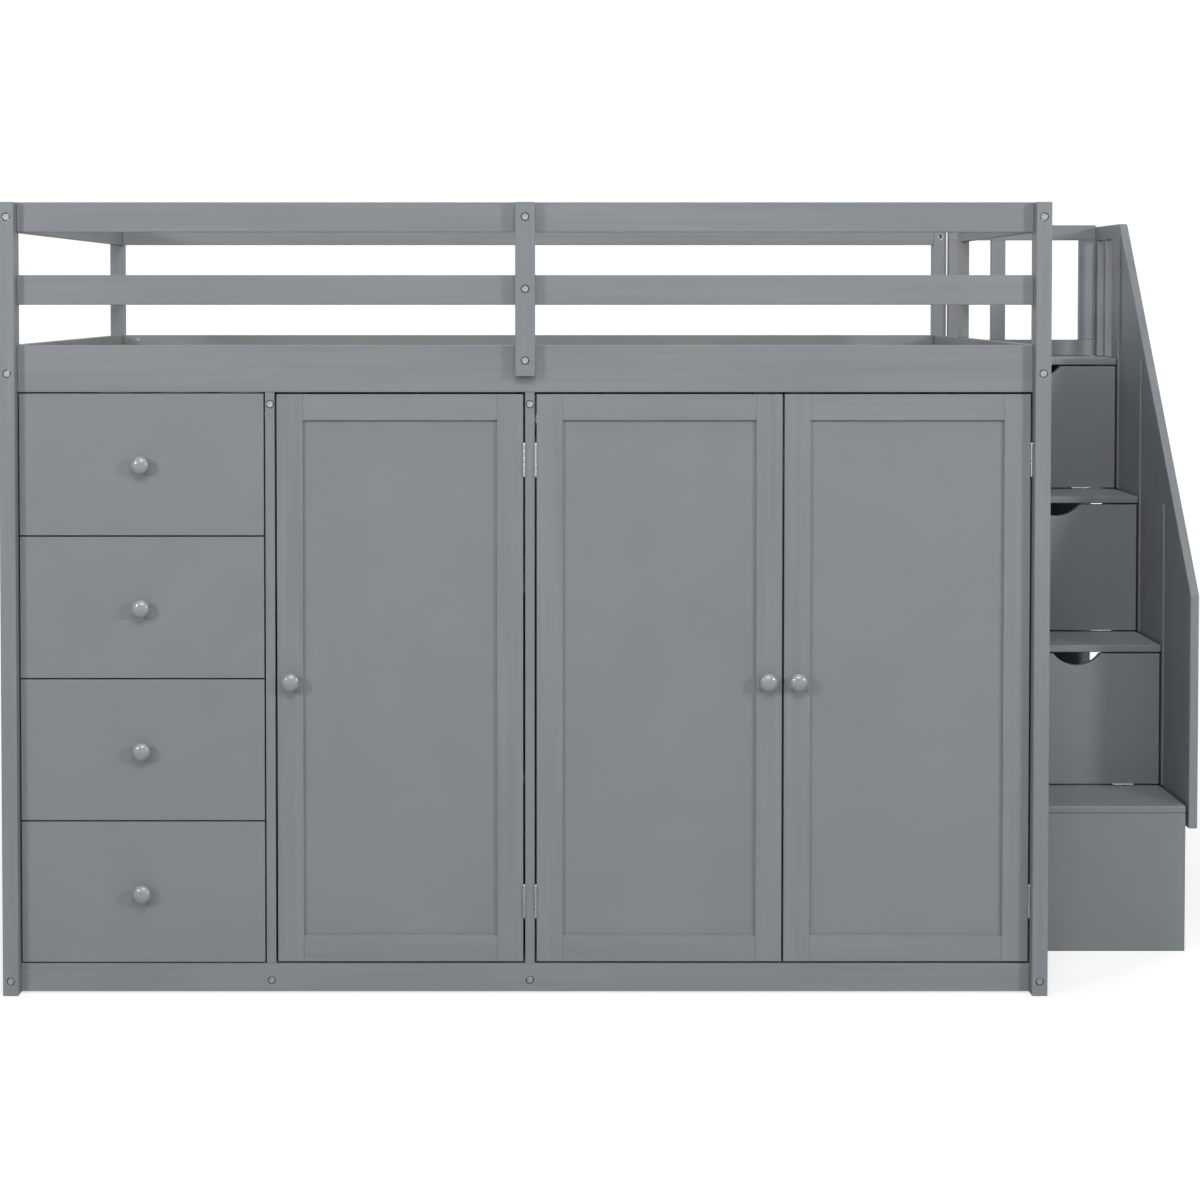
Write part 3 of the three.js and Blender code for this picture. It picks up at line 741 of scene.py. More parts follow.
# %% [markdown]
# ## Knobs
#
# A knob is turned on a lathe in one piece: a small foot, a hollow neck and a rounded head. The
# head is an ellipse, and the neck narrows from the foot along a quarter sine wave to just where
# the head begins, so the two meet without a step.

# %% Knobs
KNOB_FOOT = 10.5 * MM
FOOT_HEIGHT = 2 * MM
FOOT_ROUND = 0.5 * MM
KNOB_NECK = 7.5 * MM
HEAD_HALF = 9 * MM


def knob_profile(radius, length):
    """Foot, neck and head. The neck's radius narrows as foot + (neck - foot) * sin(90 t degrees),
    and the head is (r * cos s, centre + h * sin s)."""
    head_centre = length - HEAD_HALF
    first = -math.acos(KNOB_NECK / radius)
    s = np.linspace(first, math.pi / 2, 26)
    head = np.stack([radius * np.cos(s), head_centre + HEAD_HALF * np.sin(s)], 1)
    t = np.linspace(0, 1, 10, endpoint=False)
    dip = np.stack([KNOB_FOOT + (KNOB_NECK - KNOB_FOOT) * np.sin(t * math.pi / 2),
                    FOOT_HEIGHT + t * (head[0, 1] - FOOT_HEIGHT)], 1)
    foot = np.array([(0, 0), (KNOB_FOOT * 0.5, 0), (KNOB_FOOT * 0.96, 0), (KNOB_FOOT, FOOT_ROUND)])
    head[-1, 0] = 0
    return np.concatenate([foot, dip, head])


def knob(node, body):
    """The finished knob for a CAD knob, turned about a line towards the front."""
    low, high = box(node)
    start = ((low[0] + high[0]) / 2, high[1], (low[2] + high[2]) / 2)
    profile = knob_profile((high[0] - low[0]) / 2, high[1] - low[1])
    finished(node, [turned(profile, start, "-y", 48)], PAINTED_KNOB, body)


knob_size = np.ptp(box("drawer_knob_1"), axis=0)
print("knob across and deep in mm:", [round(float(v) / MM, 1) for v in knob_size[:2]])

# %% [markdown]
# ## Drawers
#
# Each drawer is a pine box with a thin bottom and a painted fibreboard front with a knob in its
# middle. The box's walls come from its corner levels: outer, inner, inner, outer.


# %% Drawers
FRONT_EDGE = 0.7 * MM
BOTTOM_EDGE = 0.2 * MM


def drawer_box_parts(node):
    """Two sides, two ends and a bottom."""
    x, y, z = (levels(node, axis) for axis in "xyz")
    sides = [span((x0, y[0], z[0]), (x1, y[3], z[2])) for x0, x1 in (x[:2], x[2:])]
    ends = [span((x[1], y0, z[0]), (x[2], y1, z[2])) for y0, y1 in (y[:2], y[2:])]
    bottom = span((x[1], y[1], z[0]), (x[2], y[2], z[1]))
    walls = [board(s, "x", "y", THIN_EDGE) for s in sides]
    walls += [board(e, "y", "x", THIN_EDGE) for e in ends]
    return walls + [board(bottom, "z", "y", BOTTOM_EDGE)]


for number in range(1, 5):
    body = f"drawer_{number}"
    front = f"drawer_front_{number}"
    finished(front, [board(box(front), "y", "x", FRONT_EDGE)], PAINTED_BOARD, body)
    inside = f"drawer_box_{number}"
    finished(inside, drawer_box_parts(inside), BARE_PINE, body)
    knob(f"drawer_knob_{number}", body)
print("drawers:", number)

# %% [markdown]
# ## Doors
#
# A door is a frame of two full-height stiles and two rails round a thin panel. Where a rail meets
# a stile both edges are slightly rounded, which leaves the fine line that paint never quite
# fills. The panel lies back from the frame's face by the recess that the CAD cut.

# %% Doors
DOORS = ("shelf_door", "wardrobe_left_door", "wardrobe_right_door")
JOINT_EDGE = 0.8 * MM
PANEL_EDGE = 0.15 * MM


def door_parts(node):
    """The frame's four boards, and the panel, each as a list of parts."""
    x, y, z = (levels(node, axis) for axis in "xyz")
    stiles = [span((x0, y[0], z[0]), (x1, y[-1], z[-1])) for x0, x1 in (x[:2], x[-2:])]
    rails = [span((x[1], y[0], z0), (x[-2], y[-1], z1)) for z0, z1 in (z[:2], z[-2:])]
    panel = span((x[1], y[1], z[1]), (x[-2], y[-2], z[-2]))
    upright = [board(s, "y", "z", JOINT_EDGE) for s in stiles]
    level = [board(r, "y", "x", JOINT_EDGE) for r in rails]
    return upright + level, [board(panel, "y", "z", PANEL_EDGE)]


for node in DOORS:
    body = f"{node}_leaf"
    leaf_frame, panel = door_parts(node)
    finished(node, leaf_frame, PAINTED_PINE, body)
    piece(f"{node}_panel", panel, PAINTED_BOARD, body)
    knob(f"{node}_knob", body)
print("doors:", len(DOORS))

# %% [markdown]
# ## Desk
#
# Behind the cabinet the bay is open to the back, and the desk top spans it from end to end. It
# rests on a rail at each end and on a cleat along the cabinet's back.

# %% Desk
DESK_TOP = 18 * MM
DESK_EDGE = 2.5 * MM
desk = box("desk")
desk_y = levels("desk", "y")
desk_z = levels("desk", "z")
rail_bottom, cleat_bottom = desk_z[:2]
top_bottom = desk_z[-1] - DESK_TOP
post_x = [box("post_front_left")[1, 0], box("post_front_right")[0, 0]]
desk_top = span((desk[0, 0], desk_y[0], top_bottom), (desk[1, 0], desk_y[2], desk_z[-1]))
desk_ends = [span((x0, desk_y[0], rail_bottom), (x1, desk_y[3], top_bottom))
             for x0, x1 in ((desk[0, 0], post_x[0]), (post_x[1], desk[1, 0]))]
cleat = span((post_x[0], desk_y[0], cleat_bottom), (post_x[1], desk_y[1], top_bottom))
desk_parts = [board(desk_top, "z", "x", DESK_EDGE), *[board(e, "x", "y") for e in desk_ends]]
finished("desk", desk_parts + [board(cleat, "y", "x")], PAINTED_BOARD)
print("desk top in mm:", [round(float(v) / MM) for v in desk_top[1] - desk_top[0]])

# %% [markdown]
# ## Stairs
#
# Three treads and a landing rest on a plinth, a stepped side and a back board. A tread's front
# edge is rounded more than the other boards, because bare feet meet it.

# %% Treads, plinth, side and back
NOSE_EDGE = 2.5 * MM
TREADS = ("tread_1", "tread_2", "tread_3", "landing")
for node in TREADS:
    finished(node, [board(box(node), "z", "x", NOSE_EDGE)], PAINTED_BOARD)

plinth = box("stair_plinth")
RISER = 15 * MM
riser = span(plinth[0], (plinth[1, 0], plinth[0, 1] + RISER, plinth[1, 2]))
plinth_side = span((plinth[1, 0] - RISER, riser[1, 1], plinth[0, 2]), plinth[1])
plinth_parts = [board(riser, "y", "x", THIN_EDGE), board(plinth_side, "x", "y", THIN_EDGE)]
finished("stair_plinth", plinth_parts, PAINTED_BOARD)

side = box("stair_left_side")
side_y = levels("stair_left_side", "y")
side_z = levels("stair_left_side", "z")
stepped = [(side_y[0], side_z[0]), (side_y[-1], side_z[0]), (side_y[-1], side_z[-1])]
for step in range(len(side_y) - 2, 0, -1):
    stepped += [(side_y[step], side_z[step + 1]), (side_y[step], side_z[step])]
stepped += [(side_y[0], side_z[1])]
stepped_edge = corner_arcs(stepped, CORNER_SHARE * THIN_EDGE)
stepped_side = plate(stepped_edge, "x", *side[:, 0], THIN_EDGE, "z")
finished("stair_left_side", [stepped_side], PAINTED_BOARD)
stair_back = box("stair_back")
finished("stair_back", [board(stair_back, "y", "x")], PAINTED_BOARD)
print("stepped side corners:", len(stepped))

# %% [markdown]
# The stairs' back stops just short of the handrail panel. A short glued cleat fills that corner
# under the landing, so that no light comes through there.

# %% Cleat in the stairs' back corner
CLEAT = 15 * MM
CLEAT_LENGTH = 78 * MM
CLEAT_SPACE = 0.5 * MM
PANEL_SPACE = 0.3 * MM
cleat_back = stair_back[0, 1] - CLEAT_SPACE
panel_face = levels("handrail_panel", "x")[1] - PANEL_SPACE
cleat_low = (stair_back[1, 0] - CLEAT, cleat_back - CLEAT, stair_back[1, 2] - CLEAT_LENGTH)
cleat_high = (panel_face, cleat_back, stair_back[1, 2])
piece("stair_cleat", [board(span(cleat_low, cleat_high), "x", "z", THIN_EDGE)], PAINTED_BOARD)
print("cleat width in mm:", round(float(cleat_high[0] - cleat_low[0]) / MM, 1))

# %% [markdown]
# ## Flaps
#
# Drop-down flaps close the rises above the plinth, and each has a finger notch in its top edge.
# The notch is one corner of the outline: a corner whose two legs are tangent to the notch at the
# top edge, rounded with the notch's own radius. The corners where the notch meets the edge are
# rounded a little, so that fingers don't feel them.

# %% Flaps
NOTCH_HALF = 50 * MM
NOTCH_DEPTH = 25 * MM
NOTCH_LIP = 2 * MM
NOTCH_SHIFT = -5 * MM
LIP_SPARE = 1.02  # keeps the lip's arc a little apart from the notch's


def flap_outline(low, high, centre):
    """Rectangle with a round notch: the two tangents at the notch's ends meet at half width *
    tan(t) below the edge, where sin(t) is the half width over the notch's radius."""
    radius = (NOTCH_HALF ** 2 + NOTCH_DEPTH ** 2) / (2 * NOTCH_DEPTH)
    t = math.asin(NOTCH_HALF / radius)
    lowest = high[2] - NOTCH_HALF * math.tan(t)
    leg = NOTCH_HALF / math.cos(t) - NOTCH_LIP * math.tan(t / 2) * LIP_SPARE
    edge = BOARD_EDGE
    notch = [(centre + NOTCH_HALF, high[2]), (centre, lowest), (centre - NOTCH_HALF, high[2])]
    corners = [(low[0], low[2]), (high[0], low[2]), (high[0], high[2]), *notch, (low[0], high[2])]
    radii = [edge, edge, edge, NOTCH_LIP, leg / math.tan(t), NOTCH_LIP, edge]
    return corner_arcs(corners, radii, 12)


notch_x = box("tread_1")[:, 0].mean() + NOTCH_SHIFT
FLAPS = ("flap_2", "flap_3", "flap_4")
for node in FLAPS:
    low, high = box(node)
    flap = plate(flap_outline(low, high, notch_x), "y", low[1], high[1], THIN_EDGE, "x")
    finished(node, [flap], PAINTED_BOARD, f"stair_{node}")
print("flaps:", len(FLAPS))

# %% [markdown]
# ## Handrail panel and back guard
#
# The panel outside the steps follows the flight with a sloping top edge. Its outline has seven
# corners, and the two slots above the landing are holes in it. Thin strips on its inner face
# stand beside the flaps.

# %% Handrail panel
hand = box("handrail_panel")
hand_x = levels("handrail_panel", "x")
hand_z = levels("handrail_panel", "z")
noses = [box(node)[0, 1] for node in TREADS]
back_y = hand[1, 1]
HAND_TRIM = 85 * MM
TRIM_DROP = 80 * MM
SLOPE_END = 10 * MM
FRONT_RISE = 433 * MM  # the panel's low front corner stands about this far above the first tread
HAND_EDGE = 2 * MM
SLOTS = [(72 * MM, 130 * MM), (146 * MM, 200 * MM)]
JAMB_DEPTH = 18 * MM
JAMB_ROUND = 0.8 * MM
trim_y = box("stair_back")[1, 1] - HAND_TRIM
trim_z = box("landing")[0, 2] - TRIM_DROP
slot_z = (hand_z[-3], hand_z[-2])
front_z = hand_z[np.argmin(np.abs(hand_z - (box("tread_1")[1, 2] + FRONT_RISE)))]
hand_outline = [(hand[0, 1], hand[0, 2]), (trim_y, hand[0, 2]), (trim_y, trim_z), (back_y, trim_z),
                (back_y, hand[1, 2]), (noses[3] + SLOPE_END, hand[1, 2]), (hand[0, 1], front_z)]
HAND_ROUNDING = np.array([3, 3, 3, 3, 3, 12, 14]) * MM
hand_slots = [hole(rectangle((noses[3] + a, noses[3] + b), slot_z, BOARD_EDGE)) for a, b in SLOTS]
hand_edge = corner_arcs(hand_outline, HAND_ROUNDING, 6)
hand_panel = plate(hand_edge, "x", hand_x[1], hand_x[2], HAND_EDGE, "z", hand_slots)
rise = box("tread_1")[1, 2]
jambs = []
for step, nose in enumerate(noses[1:], start=1):
    strip_top = min((step + 2) * rise, hand_z[-2])
    strip = span((hand_x[0], nose, step * rise), (hand_x[1], nose + JAMB_DEPTH, strip_top))
    jambs.append(board(strip, "x", "z", JAMB_ROUND))
finished("handrail_panel", [hand_panel, *jambs], PAINTED_PINE)
print("handrail corners:", len(hand_outline), "strips:", len(jambs))

# %% Back guard
rail_z = levels("back_guard", "z")
post_edges = levels("back_guard", "x").reshape(-1, 2)
guard_depth = box("back_guard")[:, 1]
across = (post_edges[0, 0], post_edges[-1, 1])
near, far = guard_depth
rails_of_guard = [board(span((across[0], near, z0), (across[1], far, z1)), "y", "x")
                  for z0, z1 in (rail_z[:2], rail_z[-2:])]
balusters = [board(span((x0, near, rail_z[1]), (x1, far, rail_z[-2])), "y", "z", THIN_EDGE)
             for x0, x1 in post_edges]
finished("back_guard", rails_of_guard + balusters, PAINTED_PINE)
print("balusters:", len(balusters))

# %% [markdown]
# ## Bolts and screws
#
# A bolt head is a thick disc with a six-sided socket. It is the same plate as a board, only with
# a round outline and a small outline as its hole, and a second disc closes the socket's bottom.
# The heads are a darker copy of the zinc, and the discs under their sockets the bright zinc, which
# paints a highlight into each socket's shaded middle; so they are two pieces. Countersunk screws are
# smaller and have a cross recess.


# %% Fasteners
SOCKET_SHARE = 0.3  # a socket's depth over the head's
SOCKET_RADIUS = 0.45  # a socket's radius over the head's
HEAD_EDGE = 0.7 * MM
SOCKET_EDGE = 0.1 * MM


def socket_outline(a, b, size, kind):
    """Hexagon, or a cross with arms as wide as a third of its size."""
    if kind == "hex":
        t = np.arange(6) * math.pi / 3
        return corner_arcs(np.stack([a + size * np.cos(t), b + size * np.sin(t)], 1), 0.1 * size, 1)
    arm = size / 3
    ends = [(size, -arm), (size, arm), (arm, arm), (arm, size), (-arm, size), (-arm, arm),
            (-size, arm), (-size, -arm), (-arm, -arm), (-arm, -size), (arm, -size), (arm, -arm)]
    return corner_arcs(np.array(ends) + (a, b), 0.1 * size, 1)


def fastener(axis, a, b, low, high, radius, kind, outwards):
    """Head between two heights, its socket open towards outwards, which is 'low' or 'high'."""
    depth = (high - low) * SOCKET_SHARE
    recess = hole(socket_outline(a, b, radius * SOCKET_RADIUS, kind))
    ring = (low, low + depth) if outwards == "low" else (high - depth, high)
    back = (low + depth, high) if outwards == "low" else (low, high - depth)
    edge = min(HEAD_EDGE, depth * 0.4)
    return [plate(disc(a, b, radius), axis, *ring, edge, "x", [recess]),
            plate(disc(a, b, radius * 0.98), axis, *back, SOCKET_EDGE, "x")]


rail_face = box("front_base_rail")[0, 1]
bolts = [(middle(node)[0], z, box(node)[0, 1])
         for node, heights in post_holes.items() for z in heights]
bolts += [(x, z, rail_face) for x in partition_middles for z in (BASE_BOLT_Z, PARTITION_BOLT_Z)]
BOLT_SUNK = 0.8 * MM
BOLT_SEAT = 6 * MM
bolt_heads = []
for x, z, face in bolts:
    bolt_heads += fastener("y", x, z, face + BOLT_SUNK, face + BOLT_SEAT, BOLT_RADIUS, "hex", "low")
# dark heads and bright socket bottoms: a painted highlight in the middle of each bolt
piece("bolt_heads", bolt_heads[::2], DARKER_ZINC)
piece("bolt_sockets", bolt_heads[1::2], ZINC)

RAIL_SCREW = 4.2 * MM
BOARD_SCREW = 3.4 * MM
SCREW_SUNK = 0.8 * MM
SLAT_SCREW_PROUD = 0.3 * MM
TREAD_SCREW_PROUD = 0.4 * MM
RAIL_SCREW_PROUD = 0.6 * MM
RAIL_SCREW_INSET = (36 * MM, 33 * MM)  # from the rail's end, and above its middle
back_face = box("back_bed_rail")[0, 1]
back_screw_x = box("back_bed_rail")[0, 0] + RAIL_SCREW_INSET[0]
back_screw_y = (back_face - RAIL_SCREW_PROUD, back_face + SCREW_SUNK)
back_screw_z = bed_z + RAIL_SCREW_INSET[1]
screws = fastener("y", back_screw_x, back_screw_z, *back_screw_y, RAIL_SCREW, "cross", "low")
slat_screw = (slat_top - SCREW_SUNK, slat_top + SLAT_SCREW_PROUD, BOARD_SCREW, "cross", "high")
for x in slat_x.mean(axis=1):
    for y in (slat_y[0] + LEDGER / 2, slat_y[-1] - LEDGER / 2):
        screws += fastener("z", x, y, *slat_screw)
TREAD_SCREWS = (27 * MM, 123 * MM)  # behind the nose
TREAD_SCREW_INSET = 28 * MM
for node in TREADS[:3]:
    low, high = box(node)
    tread_screw = (high[2] - SCREW_SUNK, high[2] + TREAD_SCREW_PROUD, BOARD_SCREW, "cross", "high")
    for behind_nose in TREAD_SCREWS:
        for x in (low[0] + TREAD_SCREW_INSET, high[0] - TREAD_SCREW_INSET):
            screws += fastener("z", x, low[1] + behind_nose, *tread_screw)
piece("screws", screws, ZINC)
print("fastener parts:", len(bolt_heads) + len(screws))

# %% [markdown]
# ## Door and flap hinges
#
# A butt hinge has two leaves that lie in the gap beside the door and a barrel of knuckles in
# front of it. The barrel stands on the CAD joint's own axis, so the leaf swings round it exactly.
# One leaf rides with the frame and the other with the door. The flaps' hinges are the same, lying
# along the tread below.

# %% Hinges
LEAF = 1.1 * MM
LEAF_EDGE = 0.2 * MM
LEAF_DEPTH = 17 * MM
FLAP_LEAF_DEPTH = 15 * MM
DOOR_BARREL = 2.3 * MM
DOOR_HINGE = 65 * MM
FLAP_BARREL = 2.4 * MM
FLAP_HINGE = 45 * MM
GROOVE = 0.35 * MM
GROOVE_SHARE = 0.05  # a groove's half width over a knuckle's length
KNUCKLES = 5
PIN_HEAD = 0.8 * MM
PIN_SHOULDER = 0.6 * MM
joint_at = {j["child"]: np.array(j["pos_m"]) for j in frame["joints"] if j["type"] == "hinge"}


def barrel(start, way, length, radius):
    """Knuckles in a row: radius - groove * exp(-(u / share) ** 2), where u is the distance to the
    nearest joint between two knuckles, as a share of a knuckle."""
    height = np.linspace(0, length, KNUCKLES * 10 + 1)
    phase = np.abs(height / length * KNUCKLES - np.round(height / length * KNUCKLES))
    r = radius - GROOVE * np.exp(-(phase / GROOVE_SHARE) ** 2)
    first = np.array([(0, -PIN_HEAD), (radius * 0.6, -PIN_SHOULDER)])
    last = np.array([(radius * 0.6, length + PIN_SHOULDER), (0, length + PIN_HEAD)])
    return turned(np.concatenate([first, np.stack([r, height], 1), last]), start, way, 20)


def door_hinges(door, side, heights):
    """Hinges at these heights. The door's hinged edge is its 'low' or 'high' one along the bed."""
    body = f"{door}_leaf"
    pin = joint_at[body]
    edge_x = box(door)[0 if side == "low" else 1, 0]
    gap = 2 * (pin[0] - edge_x)
    fixed_x = edge_x + gap
    inner = sorted((fixed_x, fixed_x - math.copysign(LEAF, gap)))
    outer = sorted((edge_x, edge_x + math.copysign(LEAF, gap)))
    back = pin[1] + LEAF_DEPTH
    fixed, moving = [], []
    for z in heights:
        z0, z1 = z - DOOR_HINGE / 2, z + DOOR_HINGE / 2
        fixed.append(board(span((inner[0], pin[1], z0), (inner[1], back, z1)), "x", "z", LEAF_EDGE))
        moving.append(board(span((outer[0], pin[1], z0), (outer[1], back, z1)), "x", "z", LEAF_EDGE))
        fixed.append(barrel((pin[0], pin[1], z0), "z", DOOR_HINGE, DOOR_BARREL))
    piece(f"{door}_hinges", fixed, ZINC)
    piece(f"{door}_hinge_leaves", moving, ZINC, body)


HINGE_FROM_ENDS = (117 * MM, 126 * MM)
door_low, door_high = box("shelf_door")[:, 2]
hinge_heights = (door_low + HINGE_FROM_ENDS[0], door_high - HINGE_FROM_ENDS[1])
door_hinges("shelf_door", "high", hinge_heights)
door_hinges("wardrobe_left_door", "low", hinge_heights)
door_hinges("wardrobe_right_door", "high", hinge_heights)
print("door hinge heights:", [round(float(z), 3) for z in hinge_heights])

# %% Flap hinges
FLAP_HINGE_INSET = 77 * MM
FLAP_GAP = 3 * MM


def flap_hinges(flap):
    """Two hinges under a flap, one leaf on the tread and the other under the flap's edge."""
    body = f"stair_{flap}"
    pin = joint_at[body]
    low, high = box(flap)
    tread_top = low[2] - FLAP_GAP
    leaf_top = tread_top + LEAF
    back = pin[1] + FLAP_LEAF_DEPTH
    fixed, moving = [], []
    for x in (low[0] + FLAP_HINGE_INSET, high[0] - FLAP_HINGE_INSET):
        x0, x1 = x - FLAP_HINGE / 2, x + FLAP_HINGE / 2
        fixed.append(board(span((x0, pin[1], tread_top), (x1, back, leaf_top)), "z", "x", LEAF_EDGE))
        moving.append(board(span((x0, pin[1], low[2] - LEAF), (x1, back, low[2])), "z", "x", LEAF_EDGE))
        fixed.append(barrel((x0, pin[1], pin[2]), "x", FLAP_HINGE, FLAP_BARREL))
    piece(f"{flap}_hinges", fixed, ZINC)
    piece(f"{flap}_hinge_leaves", moving, ZINC, body)


for node in FLAPS:
    flap_hinges(node)
print("hinged flaps:", len(FLAPS))

# %% [markdown]
# ## Stops and bare wood
#
# The doors close against three small stop blocks behind their free top corners. The blocks were
# never painted, so they show as warm slivers in the gap above the doors. A painted strip behind
# them runs along under the slats' ledger and keeps the light out of that gap. The rim of the empty
# bolt hole in the back right post is chipped, and bare wood shows there too.

# %% Stop blocks and strips
STOP = np.array([47, 17, 17]) * MM
STOP_INSET = 5 * MM
STOP_SPACE = 0.5 * MM
rail_under = box("front_bed_rail")[0, 2]
stops = []
for door, side in (("shelf_door", 0), ("wardrobe_left_door", 1), ("wardrobe_right_door", 0)):
    x = box(door)[side, 0] + (STOP_INSET if side == 0 else -STOP_INSET - STOP[0])
    low = np.array([x, box(door)[1, 1] + STOP_SPACE, rail_under - STOP[2]])
    stops.append(board(span(low, low + STOP), "z", "x", THIN_EDGE))
piece("door_stops", stops, BARE_PINE)

STRIP_DEPTH = 20 * MM
STRIP_BELOW = 7 * MM
STRIP_SPACE = 0.3 * MM
STRIP_BEHIND = 1 * MM
strip_y = box("shelf_door")[1, 1] + STOP[1] + STRIP_BEHIND
strip_z = (rail_under - STRIP_BELOW, slat_z[0] - STRIP_SPACE)
cupboard_x = (partition_x[-1], right_partition[0, 0])
wardrobe_x = (right_partition[1, 0], box("case_right_end")[0, 0])
strips = []
for x0, x1 in (cupboard_x, wardrobe_x):
    strip = span((x0, strip_y, strip_z[0]), (x1, strip_y + STRIP_DEPTH, strip_z[1]))
    strips.append(board(strip, "y", "x", THIN_EDGE))
piece("door_strips", strips, PAINTED_PINE)
print("stop blocks:", len(stops), "strips:", len(strips))

# %% Chipped rim of the empty hole
CHIP_ACROSS = EMPTY_HOLE + 3 * MM
CHIP_UP = 8 * MM
CHIP_INNER = EMPTY_HOLE * 1.2
CHIP_ARC = (-1.9, 0.7)  # the stretch of the rim that is chipped, in radians
CHIP_PROUD = 0.15 * MM
CHIP_SUNK = 0.4 * MM
CHIP_EDGE = 0.1 * MM
hole_x = middle("post_back_right")[0]
hole_y = box("post_back_right")[0, 1]
rim_t = np.linspace(*CHIP_ARC, 9)
rim = np.stack([hole_x + CHIP_ACROSS * np.cos(rim_t), EMPTY_HOLE_Z + CHIP_UP * np.sin(rim_t)], 1)
back_t = rim_t[::-1]
inner_x = hole_x + CHIP_INNER * np.cos(back_t)
inner_z = EMPTY_HOLE_Z + CHIP_INNER * np.sin(back_t)
chip = corner_arcs(np.concatenate([rim, np.stack([inner_x, inner_z], 1)]), CHIP_EDGE, 1)
chip_plate = plate(chip, "y", hole_y - CHIP_PROUD, hole_y + CHIP_SUNK, CHIP_EDGE, "z")
piece("chipped_rim", [chip_plate], BARE_PINE)
print("points in the chip:", len(chip))

# %% [markdown]
# ## Floor, light and camera
#
# The bed stands in a white room, as for a catalogue. Soft boxes give nearly all of the light: two
# small ones in front, one on each side, a wide one high in front, one overhead and two behind. The
# two small ones draw a thin shadow beside each post and on both sides of each knob. The white room
# itself gives only a little fill, but it is what gloss paint and zinc mirror. The floor is a disc
# that fades out, so no horizon shows.

# %% Floor
FLOOR_RADIUS = 6.0
FADE = (2.0, 5.0)  # the floor melts into the white room between these distances
FLOOR_POINTS = 96
CAMERA_LIFT = 0.62  # brightens the floor for the camera alone, as a retoucher would
rim_angle = np.arange(FLOOR_POINTS) * 2 * math.pi / FLOOR_POINTS
rim_points = np.stack([np.cos(rim_angle), np.sin(rim_angle), 0 * rim_angle], 1) * FLOOR_RADIUS
floor_mesh = bpy.data.meshes.new("floor")
floor_mesh.from_pydata(rim_points.tolist(), [], [list(range(FLOOR_POINTS))])
floor = bpy.data.objects.new("floor", floor_mesh)
bpy.context.scene.collection.objects.link(floor)


def studio_floor():
    """Pale and matt, fading out with the distance from the middle."""
    material, tree, shader = new_material("white_studio_floor", Roughness=0.8)
    place = add(tree, "ShaderNodeTexCoord").outputs["Object"]
    clouds = add(tree, "ShaderNodeTexNoise", {"Vector": place, "Scale": 1.5, "Detail": 3.0})
    colour = add(tree, "ShaderNodeMix", {"Factor": clouds.outputs["Fac"], 6: linear("#c6c6c6"),
                                         7: linear("#cacaca")}, data_type="RGBA")
    distance = add(tree, "ShaderNodeVectorMath", {0: place}, operation="LENGTH")
    cover = add(tree, "ShaderNodeMapRange", {"Value": distance.outputs["Value"], "From Min": FADE[0],
                                             "From Max": FADE[1], "To Min": 1.0, "To Max": 0.0},
                interpolation_type="SMOOTHSTEP")
    ray = add(tree, "ShaderNodeLightPath")
    lift = add(tree, "ShaderNodeMath", {0: ray.outputs["Is Camera Ray"], 1: CAMERA_LIFT},
               operation="MULTIPLY")
    fill(tree, shader, {"Base Color": colour.outputs[2], "Alpha": cover.outputs[0],
                        "Emission Strength": lift.outputs[0], "Emission Color": (1, 1, 1, 1)})
    return material


floor_mesh.materials.append(studio_floor())
print("floor across in m:", 2 * FLOOR_RADIUS)

# %% Light
WHITE = 1.05  # strength of the white room as it is seen
SURROUND = 0.08  # its strength as a light
MIRRORED_SHARE = 0.75  # how much of its white is seen in reflections
LIGHTS = {  # name: (place, target, width, height, power)
    "left_softbox": ((-3.74, -4.14, 2.4), (0.0, -0.4, 0.9), 0.75, 0.75, 68.0),
    "right_softbox": ((4.05, -3.8, 2.3), (0.0, -0.4, 0.9), 0.75, 0.75, 79.0),
    "front_softbox": ((0.0, -4.7, 4.4), (0.0, -0.4, 0.9), 3.0, 1.5, 112.0),
    "top_softbox": ((0.0, -0.8, 5.0), (0.0, -0.3, 0.8), 3.0, 2.0, 40.0),
    "left_back_softbox": ((-4.0, 3.4, 3.4), (0.0, 0.3, 0.8), 2.0, 2.0, 45.0),
    "right_back_softbox": ((4.0, 3.4, 3.4), (0.0, 0.3, 0.8), 2.0, 2.0, 45.0),
}
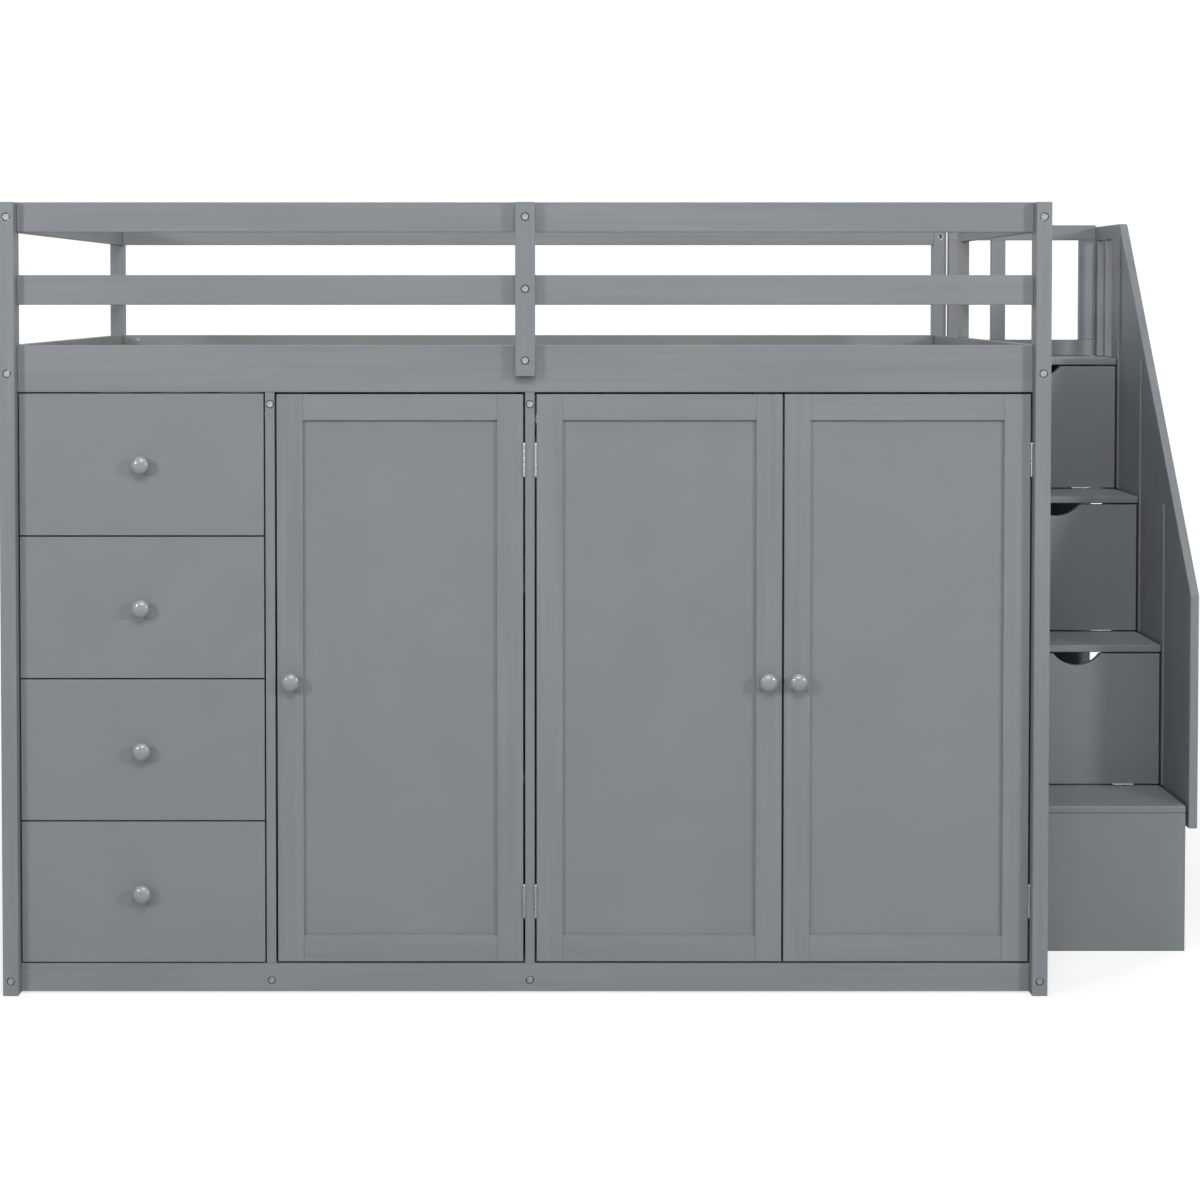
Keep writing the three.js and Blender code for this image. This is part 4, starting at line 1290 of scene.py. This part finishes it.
world = bpy.data.worlds.new("white_room")
bpy.context.scene.world = world
world.use_nodes = True
world_tree = world.node_tree
world_tree.nodes.clear()
seen = add(world_tree, "ShaderNodeBackground", {"Color": (1, 1, 1, 1), "Strength": WHITE})
lit = add(world_tree, "ShaderNodeBackground", {"Color": (1, 1, 1, 1), "Strength": SURROUND})
ray = add(world_tree, "ShaderNodeLightPath")
mirrored = add(world_tree, "ShaderNodeMath", {0: ray.outputs["Is Glossy Ray"], 1: MIRRORED_SHARE},
               operation="MULTIPLY")
bright = add(world_tree, "ShaderNodeMath", {0: ray.outputs["Is Camera Ray"], 1: mirrored.outputs[0]},
             operation="MAXIMUM")
sky = add(world_tree, "ShaderNodeMixShader",
          {0: bright.outputs[0], 1: lit.outputs[0], 2: seen.outputs[0]})
add(world_tree, "ShaderNodeOutputWorld", {"Surface": sky.outputs[0]})


def aim(thing, place, target):
    """Turns a light or a camera at place so that its -Z axis points at the target."""
    thing.location = place
    thing.rotation_mode = "QUATERNION"
    thing.rotation_quaternion = (Vector(target) - Vector(place)).to_track_quat("-Z", "Y")


for name, (place, target, width, height, power) in LIGHTS.items():
    lamp = bpy.data.lights.new(name, "AREA")
    lamp.shape = "RECTANGLE"
    lamp.size = width
    lamp.size_y = height
    lamp.energy = power
    light = bpy.data.objects.new(name, lamp)
    bpy.context.scene.collection.objects.link(light)
    light.visible_camera = False
    aim(light, place, target)
bpy.context.scene.view_settings.view_transform = "Standard"
print("lights:", ", ".join(LIGHTS))

# %% Camera
CAMERA_PLACE = (-0.1577, -4.5201, 1.3436)
CAMERA_TILT = 1.5  # degrees below the horizon
camera = bpy.data.cameras.new("camera")
camera.lens = 62.83
camera.sensor_width = 36.0
camera.shift_x = 0.0498
camera.shift_y = -0.2079
eye = bpy.data.objects.new("camera", camera)
bpy.context.scene.collection.objects.link(eye)
eye.location = CAMERA_PLACE
eye.rotation_euler = (math.radians(90 - CAMERA_TILT), 0, 0)
bpy.context.scene.camera = eye
print("camera at", CAMERA_PLACE)
